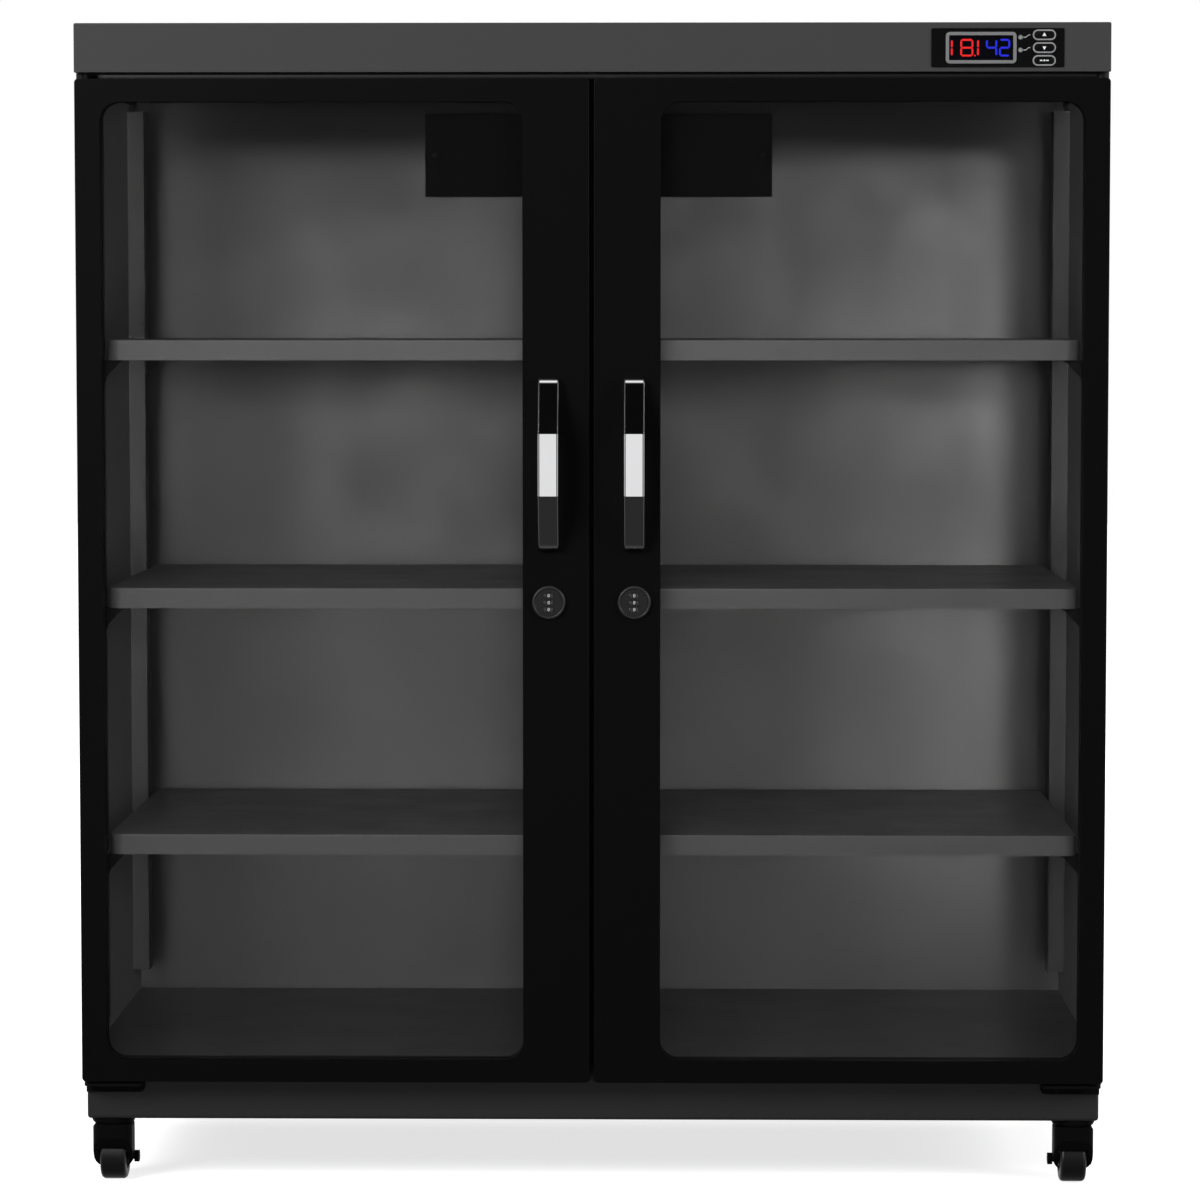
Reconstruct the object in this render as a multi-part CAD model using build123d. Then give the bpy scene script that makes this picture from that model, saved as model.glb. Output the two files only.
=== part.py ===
"""Free-standing dry cabinet with two glazed doors, three shelves and four castors.

Millimetres, +Z up. The doors face -Y. The origin is the centre of the footprint, on the floor.
"""
import os

from build123d import *

# ---- Driving dimensions: cabinet -------------------------------------------------------------
CABINET_WIDTH = 900.0
SIDE_STEP = 1.0            # the carcass is narrower than the doors by this much on each side
SHEET = 1.2                # steel sheet of the carcass
CASTOR_HEIGHT = 59.0
PLINTH_HEIGHT = 36.0
PLINTH_SHEET = 1.5
PLINTH_FLANGE = 16.0
PLINTH_CORNER = 3.5        # upright edges
PLINTH_FOLD = 3.0          # lower edges
CARCASS_HEIGHT = 887.5
CARCASS_DEPTH = 382.0
REAR_FLANGE = 14.0
COVER_HEIGHT = 42.5
COVER_FLANGE = 12.0
COVER_EDGE = 1.6
FLOOR_RISE = 21.0
ROOF_LIP = 9.0
FRAME_JAMB = 16.0
FRAME_HEADER = 22.5
FRAME_LIP_DEPTH = 10.0
POST_WIDTH = 40.0

# ---- Driving dimensions: doors ---------------------------------------------------------------
DOOR_THICKNESS = 20.0
DOOR_SHEET = 1.2
DOOR_CORNER = 3.5
DOOR_FOLD = 0.8
DOOR_SEAM = 4.0
DOOR_BOTTOM_GAP = 1.5
DOOR_TOP_GAP = 5.5
HINGE_STILE = 21.8
CENTRE_STILE = 58.2
DOOR_RAIL = 20.0
WINDOW_CORNER = 17.0
WINDOW_RETURN = 10.0
GLASS_THICKNESS = 4.0
GLASS_MARGIN = 8.0
GLAZING_SEAL_THICKNESS = 1.5
GLAZING_SEAL_WIDTH = 6.0
GASKET_INSET = 7.0
GASKET_WIDTH = 9.0
GASKET_THICKNESS = 3.7
CLOSING_GAP = 0.3

# ---- Driving dimensions: door hinges ---------------------------------------------------------
PIVOT_INSET = 6.0          # from the door's side edge
PIVOT_DEPTH = 11.0         # from the door's front
PIN_RADIUS = 3.0
PIN_CLEARANCE = 0.05
PIN_ENGAGEMENT = 12.0
BUSH_RADIUS = 4.5
BUSH_FLANGE_RADIUS = 5.5
BRACKET_SHEET = 3.0
BRACKET_FRONT_INSET = 4.0
UPPER_BRACKET_WIDTH = 28.0
UPPER_BRACKET_GRIP = 36.0
LOWER_BRACKET_WIDTH = 52.0
LOWER_BRACKET_HEIGHT = 11.0
BRACKET_CORNER = 5.0

# ---- Driving dimensions: handles and locks ---------------------------------------------------
HANDLE_REACH = 28.0
HANDLE_WIDTH = 18.2
HANDLE_LENGTH = 151.0
HANDLE_GRIP_LENGTH = 54.0
HANDLE_SECTION = 7.0
HANDLE_SHOULDER = 9.0       # radius of the bends at both feet
HANDLE_EDGE = 1.8           # rounding of the long edges
HANDLE_CENTRE_X = 37.4
HANDLE_ABOVE_LOCK = 121.0  # between their middles
LOCK_CENTRE_Z = 521.0
BEZEL_RADIUS = 14.5
BEZEL_THICKNESS = 2.5
LOCK_SLEEVE_RADIUS = 12.8
CORE_RADIUS = 11.8
CORE_PROUD = 0.5
CORE_REAR_GAP = 0.8
CAM_LENGTH = 26.0
CAM_WIDTH = 12.0
CAM_THICKNESS = 2.0
CAM_SETBACK = 6.8          # cam's front face behind the door's back
SPINDLE_RADIUS = 4.0
DIAL_COUNT = 3
DIAL_NUMBERS = 10
DIAL_RADIUS = 7.9
DIAL_THICKNESS = 3.6
DIAL_PITCH = 6.1
DIAL_CLEARANCE = 0.3
DIAL_PROUD = 0.8
DIAL_SHAFT_RADIUS = 1.0

# ---- Driving dimensions: shelves -------------------------------------------------------------
SHELF_COUNT = 3
SHELF_SHEET = 1.2
SHELF_LIP = 18.0
SHELF_CORNER = 12.0
SHELF_FOLD = 1.0
SHELF_SIDE_GAP = 3.5
SHELF_FRONT_SETBACK = 11.0
SHELF_REAR_GAP = 8.0
UPRIGHT_DEPTH = 26.0
UPRIGHT_PROUD = 15.3
UPRIGHT_SHEET = 1.2
UPRIGHT_FLOOR_GAP = 26.0
UPRIGHT_ROOF_GAP = 16.0
FRONT_UPRIGHT_SETBACK = 11.0
REAR_UPRIGHT_GAP = 32.0
SLOT_PITCH = 43.8
FIRST_SLOT_RISE = 48.0
SLOT_WIDTH = 4.0
SLOT_HEIGHT = 12.0
SLOTS_PER_SHELF = 5
FIRST_SHELF_SLOT = 3
CLIP_REACH = 17.0
CLIP_DROP = 18.5
CLIP_WIDTH = 14.0
CLIP_SHEET = 1.6
CLIP_HOOK_CLEARANCE = 0.3

# ---- Driving dimensions: control panel -------------------------------------------------------
PANEL_WIDTH = 115.0
PANEL_HEIGHT = 33.6
PANEL_RIGHT_INSET = 40.6   # from the cabinet's right side
PANEL_RISE = 3.5           # above the cover's lower edge
PANEL_FLANGE = 0.8
PANEL_CORNER = 1.5
PANEL_LAP = 0.4
PANEL_LEG = 1.5
PANEL_SKIN = 1.2
PANEL_TRAY_DEPTH = 8.0
DISPLAY_WIDTH = 61.0
DISPLAY_HEIGHT = 27.0
DISPLAY_OFFSET = 43.0      # display's centre from the panel's left edge
DISPLAY_CORNER = 3.5
BUTTON_WIDTH = 20.0
BUTTON_HEIGHT = 9.2
BUTTON_PITCH = 11.0
BUTTON_OFFSET = 97.6       # buttons' centre from the panel's left edge
BUTTON_PROUD = 0.8
BUTTON_TRAVEL = 0.8
BUTTON_FLANGE = 0.4
BUTTON_GAP = 0.25
SWITCH_HEIGHT = 2.5
LED_RADIUS = 1.3
LED_OFFSET = 77.0
BOARD_THICKNESS = 1.6
SWITCH_SIZE = 6.0

# ---- Driving dimensions: dryer unit and chamber fittings -------------------------------------
DRYER_WIDTH = 334.0
DRYER_HEIGHT = 79.5
DRYER_TOP_DROP = 15.5      # below the chamber's ceiling
DRYER_COVER_DEPTH = 7.6
DRYER_CASE_DEPTH = 17.2
DRYER_WALL = 1.5
DRYER_COVER_CORNER = 1.0
DRYER_CASE_CORNER = 4.0
DRYER_LAP = 14.0           # back panel's cut-out is smaller than the dryer by this on each side
VENT_COUNT = 12
VENT_WIDTH = 12.0
VENT_PITCH = 18.0
SHUTTER_LENGTH = 222.0
SHUTTER_THICKNESS = 1.0
SHUTTER_PIN_RADIUS = 1.0
SHUTTER_OPEN_ANGLE = 50.0
DESICCANT_LENGTH = 190.0
DESICCANT_HEIGHT = 44.0
SENSOR_WIDTH = 50.0
SENSOR_DEPTH = 24.0
SENSOR_HEIGHT = 12.0
SENSOR_SLOTS = 6
INLET_RADIUS = 5.5
INLET_NUT_RADIUS = 7.5
INLET_BORE_RADIUS = 2.85
INLET_PIN_RADIUS = 1.0
INLET_BORE_DEPTH = 9.0

# ---- Driving dimensions: castors -------------------------------------------------------------
WHEEL_RADIUS = 20.0
WHEEL_WIDTH = 23.0
WHEEL_SHOULDER = 3.5
AXLE_RADIUS = 3.0
AXLE_CLEARANCE = 0.05
CASTOR_TRAIL = 8.0
CASTOR_INSET_X = 21.0
CASTOR_INSET_Y = 21.0
YOKE_WIDTH = 35.0
YOKE_LEG_RADIUS = 9.5
YOKE_LEG_CURVE = 12.0      # legs curve in to the wheel with this radius
YOKE_HEAD_RADIUS = 17.5
YOKE_SHOULDER = 4.0
YOKE_CORNER = 9.5
YOKE_WHEEL_GAP = 1.2
CASTOR_FLANGE_RADIUS = 19.5
CASTOR_FLANGE_RIM = 1.6
CASTOR_FLANGE_HEIGHT = 6.0
CASTOR_STEM_RADIUS = 4.0
AXLE_NUT_RADIUS = 5.5
AXLE_NUT_HEIGHT = 4.2

# ---- Levels and planes that follow from them -------------------------------------------------
PLINTH_BOTTOM = CASTOR_HEIGHT
CARCASS_BOTTOM = PLINTH_BOTTOM + PLINTH_HEIGHT
CARCASS_TOP = CARCASS_BOTTOM + CARCASS_HEIGHT
CEILING = CARCASS_TOP - SHEET
FLOOR_TOP = CARCASS_BOTTOM + FLOOR_RISE
COVER_TOP = CARCASS_TOP + COVER_HEIGHT
DOOR_BOTTOM = CARCASS_BOTTOM + DOOR_BOTTOM_GAP
DOOR_TOP = CARCASS_TOP - DOOR_TOP_GAP

DOOR_TO_CARCASS = GASKET_THICKNESS + CLOSING_GAP
REAR_PANEL_INSET = 2 * SHEET
DRYER_PROUD = DRYER_CASE_DEPTH - SHEET
DEPTH_BEHIND_DOORS = DOOR_THICKNESS + DOOR_TO_CARCASS + CARCASS_DEPTH + DRYER_PROUD
DOOR_FRONT = (HANDLE_REACH - DEPTH_BEHIND_DOORS) / 2
DOOR_BACK = DOOR_FRONT + DOOR_THICKNESS
CARCASS_FRONT = DOOR_BACK + DOOR_TO_CARCASS
CARCASS_BACK = CARCASS_FRONT + CARCASS_DEPTH
BACK_PANEL_FRONT = CARCASS_BACK - REAR_PANEL_INSET
BACK_PANEL_REAR = CARCASS_BACK - SHEET

HALF_WIDTH = CABINET_WIDTH / 2
HALF_CARCASS = HALF_WIDTH - SIDE_STEP
HALF_CHAMBER = HALF_CARCASS - SHEET
HALF_OPENING = HALF_CARCASS - FRAME_JAMB
OPENING_TOP = CARCASS_TOP - FRAME_HEADER
UPRIGHT_FACE = HALF_CHAMBER - UPRIGHT_PROUD

DOOR_INNER_X = DOOR_SEAM / 2
DOOR_SPAN = (DOOR_INNER_X, HALF_WIDTH)
DOOR_RISE = (DOOR_BOTTOM, DOOR_TOP)
WINDOW_SPAN = (DOOR_INNER_X + CENTRE_STILE, HALF_WIDTH - HINGE_STILE)
WINDOW_RISE = (DOOR_BOTTOM + DOOR_RAIL, DOOR_TOP - DOOR_RAIL)
HANDLE_CENTRE_Z = LOCK_CENTRE_Z + HANDLE_ABOVE_LOCK
PIVOT_X = HALF_WIDTH - PIVOT_INSET
PIVOT_Y = DOOR_FRONT + PIVOT_DEPTH


# ---- Helpers ---------------------------------------------------------------------------------
def block(x, y, z):
    """Box between two x, two y and two z values."""
    sizes = [abs(pair[1] - pair[0]) for pair in (x, y, z)]
    centre = [(pair[0] + pair[1]) / 2 for pair in (x, y, z)]
    return Pos(*centre) * Box(*sizes)


def rod_x(y, z, radius, x):
    """Cylinder along X between two x values."""
    return Pos((x[0] + x[1]) / 2, y, z) * Rot(0, 90, 0) * Cylinder(radius, abs(x[1] - x[0]))


def rod_y(x, z, radius, y):
    """Cylinder along Y between two y values."""
    return Pos(x, (y[0] + y[1]) / 2, z) * Rot(90, 0, 0) * Cylinder(radius, abs(y[1] - y[0]))


def rod_z(x, y, radius, z):
    """Cylinder along Z between two z values."""
    return Pos(x, y, (z[0] + z[1]) / 2) * Cylinder(radius, abs(z[1] - z[0]))


def prism_y(sketch, x, z, y):
    """Front-view sketch, centred at x and z, extruded between two y values."""
    return extrude(Plane.XZ.offset(-y[1]) * Pos(x, z) * sketch, y[1] - y[0])


def framed(x, z, margin=0.0):
    """Centre and size of a front-view rectangle, grown by a margin on every side."""
    centre = ((x[0] + x[1]) / 2, (z[0] + z[1]) / 2)
    size = (x[1] - x[0] + 2 * margin, z[1] - z[0] + 2 * margin)
    return centre, size


def panel_y(x, z, y, margin=0.0, corner=0.0):
    """Upright plate, with rounded corners if a corner radius is given."""
    centre, size = framed(x, z, margin)
    outline = RectangleRounded(*size, corner) if corner else Rectangle(*size)
    return prism_y(outline, *centre, y)


def mirrored(shape):
    """The same piece on the other side of the cabinet."""
    return mirror(shape, about=Plane.YZ)


def group(shapes):
    """Several separate solids that share one node."""
    return Compound(children=list(shapes))


# ---- Carcass ---------------------------------------------------------------------------------
def base_plinth():
    """Closed tray under the carcass, with a flange that the carcass stands on."""
    y = (CARCASS_FRONT, CARCASS_BACK)
    top = CARCASS_BOTTOM
    shell = block((-HALF_CARCASS, HALF_CARCASS), y, (PLINTH_BOTTOM, top))
    shell = fillet(shell.edges().filter_by(Axis.Z), PLINTH_CORNER)
    shell = fillet(shell.edges().group_by(Axis.Z)[0], PLINTH_FOLD)
    wall_x = HALF_CARCASS - PLINTH_SHEET
    wall_y = (y[0] + PLINTH_SHEET, y[1] - PLINTH_SHEET)
    hollow = block((-wall_x, wall_x), wall_y, (PLINTH_BOTTOM + PLINTH_SHEET, top - PLINTH_SHEET))
    mouth_x = HALF_CARCASS - PLINTH_FLANGE
    mouth_y = (y[0] + PLINTH_FLANGE, y[1] - PLINTH_FLANGE)
    mouth = block((-mouth_x, mouth_x), mouth_y, (top - PLINTH_SHEET, top))
    return shell - hollow - mouth


def side_panel():
    """Right side wall with a flange turned in at the rear."""
    z = (CARCASS_BOTTOM, CEILING)
    wall = block((HALF_CHAMBER, HALF_CARCASS), (CARCASS_FRONT + SHEET, CARCASS_BACK), z)
    flange = block((HALF_CHAMBER - REAR_FLANGE, HALF_CHAMBER), (BACK_PANEL_REAR, CARCASS_BACK), z)
    return wall + flange


def dryer_span():
    """The dryer unit's x and z extents."""
    top = CEILING - DRYER_TOP_DROP
    return (-DRYER_WIDTH / 2, DRYER_WIDTH / 2), (top - DRYER_HEIGHT, top)


def back_panel():
    """Rear wall with the dryer's cut-out."""
    wall = block((-HALF_CHAMBER, HALF_CHAMBER), (BACK_PANEL_FRONT, BACK_PANEL_REAR),
                 (CARCASS_BOTTOM, CEILING))
    x, z = dryer_span()
    return wall - panel_y(x, z, (BACK_PANEL_FRONT, BACK_PANEL_REAR), margin=-DRYER_LAP)


def roof_panel():
    """Ceiling sheet with lips turned down inside the side walls."""
    sheet = block((-HALF_CARCASS, HALF_CARCASS), (CARCASS_FRONT, CARCASS_BACK),
                  (CEILING, CARCASS_TOP))
    lip = block((HALF_CHAMBER - SHEET, HALF_CHAMBER), (CARCASS_FRONT + SHEET, BACK_PANEL_FRONT),
                (CEILING - ROOF_LIP, CEILING))
    return sheet + lip + mirrored(lip)


def floor_pan():
    """Chamber floor: an inverted tray that stands on the plinth's flange."""
    y = (CARCASS_FRONT + SHEET, BACK_PANEL_FRONT)
    tray = block((-HALF_CHAMBER, HALF_CHAMBER), y, (CARCASS_BOTTOM, FLOOR_TOP))
    inside = HALF_CHAMBER - SHEET
    hollow = block((-inside, inside), (y[0] + SHEET, y[1] - SHEET),
                   (CARCASS_BOTTOM, FLOOR_TOP - SHEET))
    return tray - hollow


def front_frame():
    """Door landing: a lipped frame with a channel-shaped centre post, slotted for the lock cams."""
    front = (CARCASS_FRONT, CARCASS_FRONT + SHEET)
    lip_y = (CARCASS_FRONT, CARCASS_FRONT + FRAME_LIP_DEPTH)
    opening_z = (FLOOR_TOP, OPENING_TOP)
    sheet = block((-HALF_CARCASS, HALF_CARCASS), front, (CARCASS_BOTTOM, CEILING))
    sheet -= block((-HALF_OPENING, HALF_OPENING), front, opening_z)
    jamb_lip = block((HALF_OPENING, HALF_OPENING + SHEET), lip_y, (FLOOR_TOP, OPENING_TOP + SHEET))
    header_lip = block((-HALF_OPENING, HALF_OPENING), lip_y, (OPENING_TOP, OPENING_TOP + SHEET))
    half_post = POST_WIDTH / 2
    web = block((-half_post, half_post), front, opening_z)
    flange = block((half_post - SHEET, half_post), lip_y, opening_z)
    flange -= block((half_post - SHEET, half_post),
                    (DOOR_BACK + CAM_SETBACK - CLOSING_GAP,
                     DOOR_BACK + CAM_SETBACK + CAM_THICKNESS + CLOSING_GAP),
                    (LOCK_CENTRE_Z - CAM_LENGTH, LOCK_CENTRE_Z + CAM_WIDTH))
    return sheet + jamb_lip + mirrored(jamb_lip) + header_lip + web + flange + mirrored(flange)


def top_cover():
    """Hood over the carcass, flush with the doors, with a return flange all round."""
    y = (DOOR_FRONT, CARCASS_BACK)
    z = (CARCASS_TOP, COVER_TOP)
    hood = block((-HALF_WIDTH, HALF_WIDTH), y, z)
    hood = fillet(hood.faces().sort_by(Axis.Z)[-1].edges(), COVER_EDGE)
    inside = HALF_WIDTH - SHEET
    hood -= block((-inside, inside), (y[0] + SHEET, y[1] - SHEET), (z[0] + SHEET, z[1] - SHEET))
    mouth = HALF_WIDTH - COVER_FLANGE
    hood -= block((-mouth, mouth), (CARCASS_FRONT + COVER_FLANGE, y[1] - COVER_FLANGE),
                  (z[0], z[0] + SHEET))
    notch = upper_bracket_plate(grow=CLOSING_GAP)
    hood -= notch + mirrored(notch)
    x, z = panel_span()
    hood -= panel_y(x, z, (DOOR_FRONT, DOOR_FRONT + SHEET), margin=-PANEL_LAP)
    return hood - rod_y(*inlet_place(), INLET_RADIUS, (CARCASS_BACK - SHEET, CARCASS_BACK))


# ---- Hinges ----------------------------------------------------------------------------------
def upper_bracket_plate(grow=0.0):
    """Flat hinge plate on the roof, reaching forward over the door."""
    outer = HALF_CARCASS - SHEET
    x = (outer - UPPER_BRACKET_WIDTH - grow, outer + grow)
    y = (DOOR_FRONT + BRACKET_FRONT_INSET - grow, CARCASS_FRONT + UPPER_BRACKET_GRIP + grow)
    return block(x, y, (CARCASS_TOP, CARCASS_TOP + BRACKET_SHEET))


def upper_bracket():
    """Upper hinge plate with its pin, which hangs into the door's bush."""
    plate = fillet(upper_bracket_plate().edges().filter_by(Axis.Z).group_by(Axis.Y)[0], BRACKET_CORNER)
    return plate + rod_z(PIVOT_X, PIVOT_Y, PIN_RADIUS, (DOOR_TOP - PIN_ENGAGEMENT, CARCASS_TOP))


def lower_bracket():
    """Angle bracket on the plinth's front, with the pin that the door stands on."""
    top = CARCASS_BOTTOM - CLOSING_GAP - PIN_CLEARANCE
    x = (HALF_CARCASS - LOWER_BRACKET_WIDTH, HALF_CARCASS)
    shelf = block(x, (DOOR_FRONT + BRACKET_FRONT_INSET, CARCASS_FRONT), (top - BRACKET_SHEET, top))
    shelf = fillet(shelf.edges().filter_by(Axis.Z).group_by(Axis.Y)[0], BRACKET_CORNER)
    leg = block(x, (CARCASS_FRONT - BRACKET_SHEET, CARCASS_FRONT), (top - LOWER_BRACKET_HEIGHT, top))
    leg = fillet(leg.edges().filter_by(Axis.Y).group_by(Axis.Z)[0].sort_by(Axis.X)[0], BRACKET_CORNER)
    return shelf + leg + rod_z(PIVOT_X, PIVOT_Y, PIN_RADIUS, (top, DOOR_BOTTOM + PIN_ENGAGEMENT))


def door_bushes():
    """Two flanged nylon bushes, pressed into the door's top and bottom edges."""
    lower_seat = CARCASS_BOTTOM - PIN_CLEARANCE
    upper_seat = CARCASS_TOP - CLOSING_GAP
    bore = PIN_RADIUS + PIN_CLEARANCE
    lower = rod_z(PIVOT_X, PIVOT_Y, BUSH_RADIUS, (DOOR_BOTTOM, DOOR_BOTTOM + PIN_ENGAGEMENT))
    lower += rod_z(PIVOT_X, PIVOT_Y, BUSH_FLANGE_RADIUS, (lower_seat, DOOR_BOTTOM))
    lower -= rod_z(PIVOT_X, PIVOT_Y, bore, (lower_seat, DOOR_BOTTOM + PIN_ENGAGEMENT))
    upper = rod_z(PIVOT_X, PIVOT_Y, BUSH_RADIUS, (DOOR_TOP - PIN_ENGAGEMENT, DOOR_TOP))
    upper += rod_z(PIVOT_X, PIVOT_Y, BUSH_FLANGE_RADIUS, (DOOR_TOP, upper_seat))
    upper -= rod_z(PIVOT_X, PIVOT_Y, bore, (DOOR_TOP - PIN_ENGAGEMENT, upper_seat))
    return group([lower, upper])


# ---- Doors -----------------------------------------------------------------------------------
def window_ring(y, width, corner=WINDOW_CORNER):
    """Ring that follows the window's outline, its inner edge on the outline."""
    outer = panel_y(WINDOW_SPAN, WINDOW_RISE, y, margin=width, corner=corner + width)
    return outer - panel_y(WINDOW_SPAN, WINDOW_RISE, y, corner=corner)


def door_frame():
    """Folded steel door: front skin, edge returns and a return around the window."""
    y = (DOOR_FRONT, DOOR_BACK)
    shell = panel_y(DOOR_SPAN, DOOR_RISE, y, corner=DOOR_CORNER)
    shell = fillet(shell.faces().sort_by(Axis.Y)[0].edges(), DOOR_FOLD)
    shell -= panel_y(DOOR_SPAN, DOOR_RISE, (y[0] + DOOR_SHEET, y[1]), margin=-DOOR_SHEET,
                     corner=DOOR_CORNER - DOOR_SHEET)
    shell -= panel_y(WINDOW_SPAN, WINDOW_RISE, y, corner=WINDOW_CORNER)
    shell += window_ring((y[0] + DOOR_SHEET, y[0] + WINDOW_RETURN), DOOR_SHEET)
    shell -= rod_y(HANDLE_CENTRE_X, LOCK_CENTRE_Z, LOCK_SLEEVE_RADIUS, (y[0], y[0] + DOOR_SHEET))
    return shell - rod_z(PIVOT_X, PIVOT_Y, BUSH_RADIUS, (DOOR_BOTTOM, DOOR_TOP))


def door_liner():
    """Inner sheet of the door, whose lip holds the glass."""
    plate_y = (DOOR_BACK - DOOR_SHEET, DOOR_BACK)
    plate = panel_y(DOOR_SPAN, DOOR_RISE, plate_y, margin=-DOOR_SHEET,
                    corner=DOOR_CORNER - DOOR_SHEET)
    plate -= panel_y(WINDOW_SPAN, WINDOW_RISE, plate_y, corner=WINDOW_CORNER)
    glass_back = glass_front() + GLASS_THICKNESS
    plate += window_ring((glass_back, plate_y[0]), GLAZING_SEAL_WIDTH)
    return plate - rod_y(HANDLE_CENTRE_X, LOCK_CENTRE_Z, LOCK_SLEEVE_RADIUS, plate_y)


def glass_front():
    """Depth of the pane's front face."""
    return DOOR_FRONT + WINDOW_RETURN + GLAZING_SEAL_THICKNESS


def door_glass():
    """Toughened pane, larger than the window by a margin."""
    y = (glass_front(), glass_front() + GLASS_THICKNESS)
    return panel_y(WINDOW_SPAN, WINDOW_RISE, y, margin=GLASS_MARGIN, corner=WINDOW_CORNER)


def door_seals():
    """Glazing seal behind the window return, and the magnetic gasket on the door's back."""
    glazing = window_ring((DOOR_FRONT + WINDOW_RETURN, glass_front()), GLAZING_SEAL_WIDTH)
    y = (DOOR_BACK, DOOR_BACK + GASKET_THICKNESS)
    outer = panel_y(DOOR_SPAN, DOOR_RISE, y, margin=-GASKET_INSET, corner=DOOR_CORNER)
    inner = panel_y(DOOR_SPAN, DOOR_RISE, y, margin=-GASKET_INSET - GASKET_WIDTH)
    return group([glazing, outer - inner])


def handle():
    """Bridge handle: a flat bar bent out from the door, straight along the grip."""
    half_length = HANDLE_LENGTH / 2
    half_grip = HANDLE_GRIP_LENGTH / 2
    foot = HANDLE_SECTION * 2
    reach = HANDLE_REACH
    inner_reach = reach - HANDLE_SECTION
    outline = Polyline((0, half_length), (-HANDLE_SECTION, half_length), (-reach, half_grip),
                       (-reach, -half_grip), (-HANDLE_SECTION, -half_length),
                       (0, -half_length), (0, foot - half_length),
                       (-inner_reach, -half_grip + HANDLE_SECTION / 2),
                       (-inner_reach, half_grip - HANDLE_SECTION / 2), (0, half_length - foot),
                       close=True)
    side = make_face(outline)
    bends = side.vertices().filter_by(lambda corner: abs(corner.X + HANDLE_SECTION) < 0.1)
    bar = extrude(Plane.YZ * fillet(bends, HANDLE_SHOULDER), HANDLE_WIDTH / 2, both=True)
    rims = bar.faces().filter_by(Axis.X).edges()
    bar = fillet(rims.filter_by(lambda edge: edge.center().Y < -HANDLE_SECTION / 4), HANDLE_EDGE)
    return Pos(HANDLE_CENTRE_X, DOOR_FRONT, HANDLE_CENTRE_Z) * bar


# ---- Combination locks -----------------------------------------------------------------------
CORE_FACE = DOOR_FRONT - BEZEL_THICKNESS - CORE_PROUD
DIAL_AXIS_Y = CORE_FACE - DIAL_PROUD + DIAL_RADIUS
LOCK_BACK = DOOR_BACK + CAM_SETBACK - CORE_REAR_GAP


def lock_bezel():
    """Fixed collar and sleeve that the core turns in."""
    face = DOOR_FRONT - BEZEL_THICKNESS
    collar = rod_y(HANDLE_CENTRE_X, LOCK_CENTRE_Z, BEZEL_RADIUS, (face, DOOR_FRONT))
    collar = chamfer(collar.edges().group_by(Axis.Y)[0], BEZEL_THICKNESS / 2)
    sleeve = rod_y(HANDLE_CENTRE_X, LOCK_CENTRE_Z, LOCK_SLEEVE_RADIUS, (DOOR_FRONT, DOOR_BACK))
    bore = rod_y(HANDLE_CENTRE_X, LOCK_CENTRE_Z, CORE_RADIUS + PIN_CLEARANCE, (face, DOOR_BACK))
    return collar + sleeve - bore


def dial_height(index):
    """Height of one dial's middle."""
    return LOCK_CENTRE_Z + (index - (DIAL_COUNT - 1) / 2) * DIAL_PITCH


def lock_core():
    """Turning core with the dial pockets, the dial shaft, the spindle and the cam."""
    core = rod_y(HANDLE_CENTRE_X, LOCK_CENTRE_Z, CORE_RADIUS, (CORE_FACE, LOCK_BACK))
    pocket_half = DIAL_THICKNESS / 2 + DIAL_CLEARANCE
    for index in range(DIAL_COUNT):
        z = dial_height(index)
        core -= rod_z(HANDLE_CENTRE_X, DIAL_AXIS_Y, DIAL_RADIUS + DIAL_CLEARANCE,
                      (z - pocket_half, z + pocket_half))
    shaft_half = (DIAL_COUNT * DIAL_PITCH) / 2
    core += rod_z(HANDLE_CENTRE_X, DIAL_AXIS_Y, DIAL_SHAFT_RADIUS,
                  (LOCK_CENTRE_Z - shaft_half, LOCK_CENTRE_Z + shaft_half))
    cam_front = DOOR_BACK + CAM_SETBACK
    core += rod_y(HANDLE_CENTRE_X, LOCK_CENTRE_Z, SPINDLE_RADIUS, (LOCK_BACK, cam_front))
    half_cam = CAM_WIDTH / 2
    bar_length = CAM_LENGTH
    bar = SlotCenterToCenter(bar_length - half_cam, CAM_WIDTH, rotation=90)
    return core + prism_y(bar, HANDLE_CENTRE_X, LOCK_CENTRE_Z - (bar_length - half_cam) / 2,
                          (cam_front, cam_front + CAM_THICKNESS))


def lock_dial(index):
    """One number wheel on an upright shaft, with a flat for each number."""
    z = dial_height(index)
    half = DIAL_THICKNESS / 2
    rim = Pos(HANDLE_CENTRE_X, DIAL_AXIS_Y) * RegularPolygon(DIAL_RADIUS, DIAL_NUMBERS)
    wheel = extrude(Plane.XY.offset(z - half) * rim, DIAL_THICKNESS)
    return wheel - rod_z(HANDLE_CENTRE_X, DIAL_AXIS_Y, DIAL_SHAFT_RADIUS + PIN_CLEARANCE,
                         (z - half, z + half))


# ---- Shelves ---------------------------------------------------------------------------------
def slot_height(index):
    """Height of one row of slots."""
    return FLOOR_TOP + FIRST_SLOT_RISE + index * SLOT_PITCH


def shelf_top(index):
    """Upper face of one shelf, counted from the lowest."""
    return slot_height(FIRST_SHELF_SLOT + index * SLOTS_PER_SHELF) + SHELF_LIP - SHELF_SHEET


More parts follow.
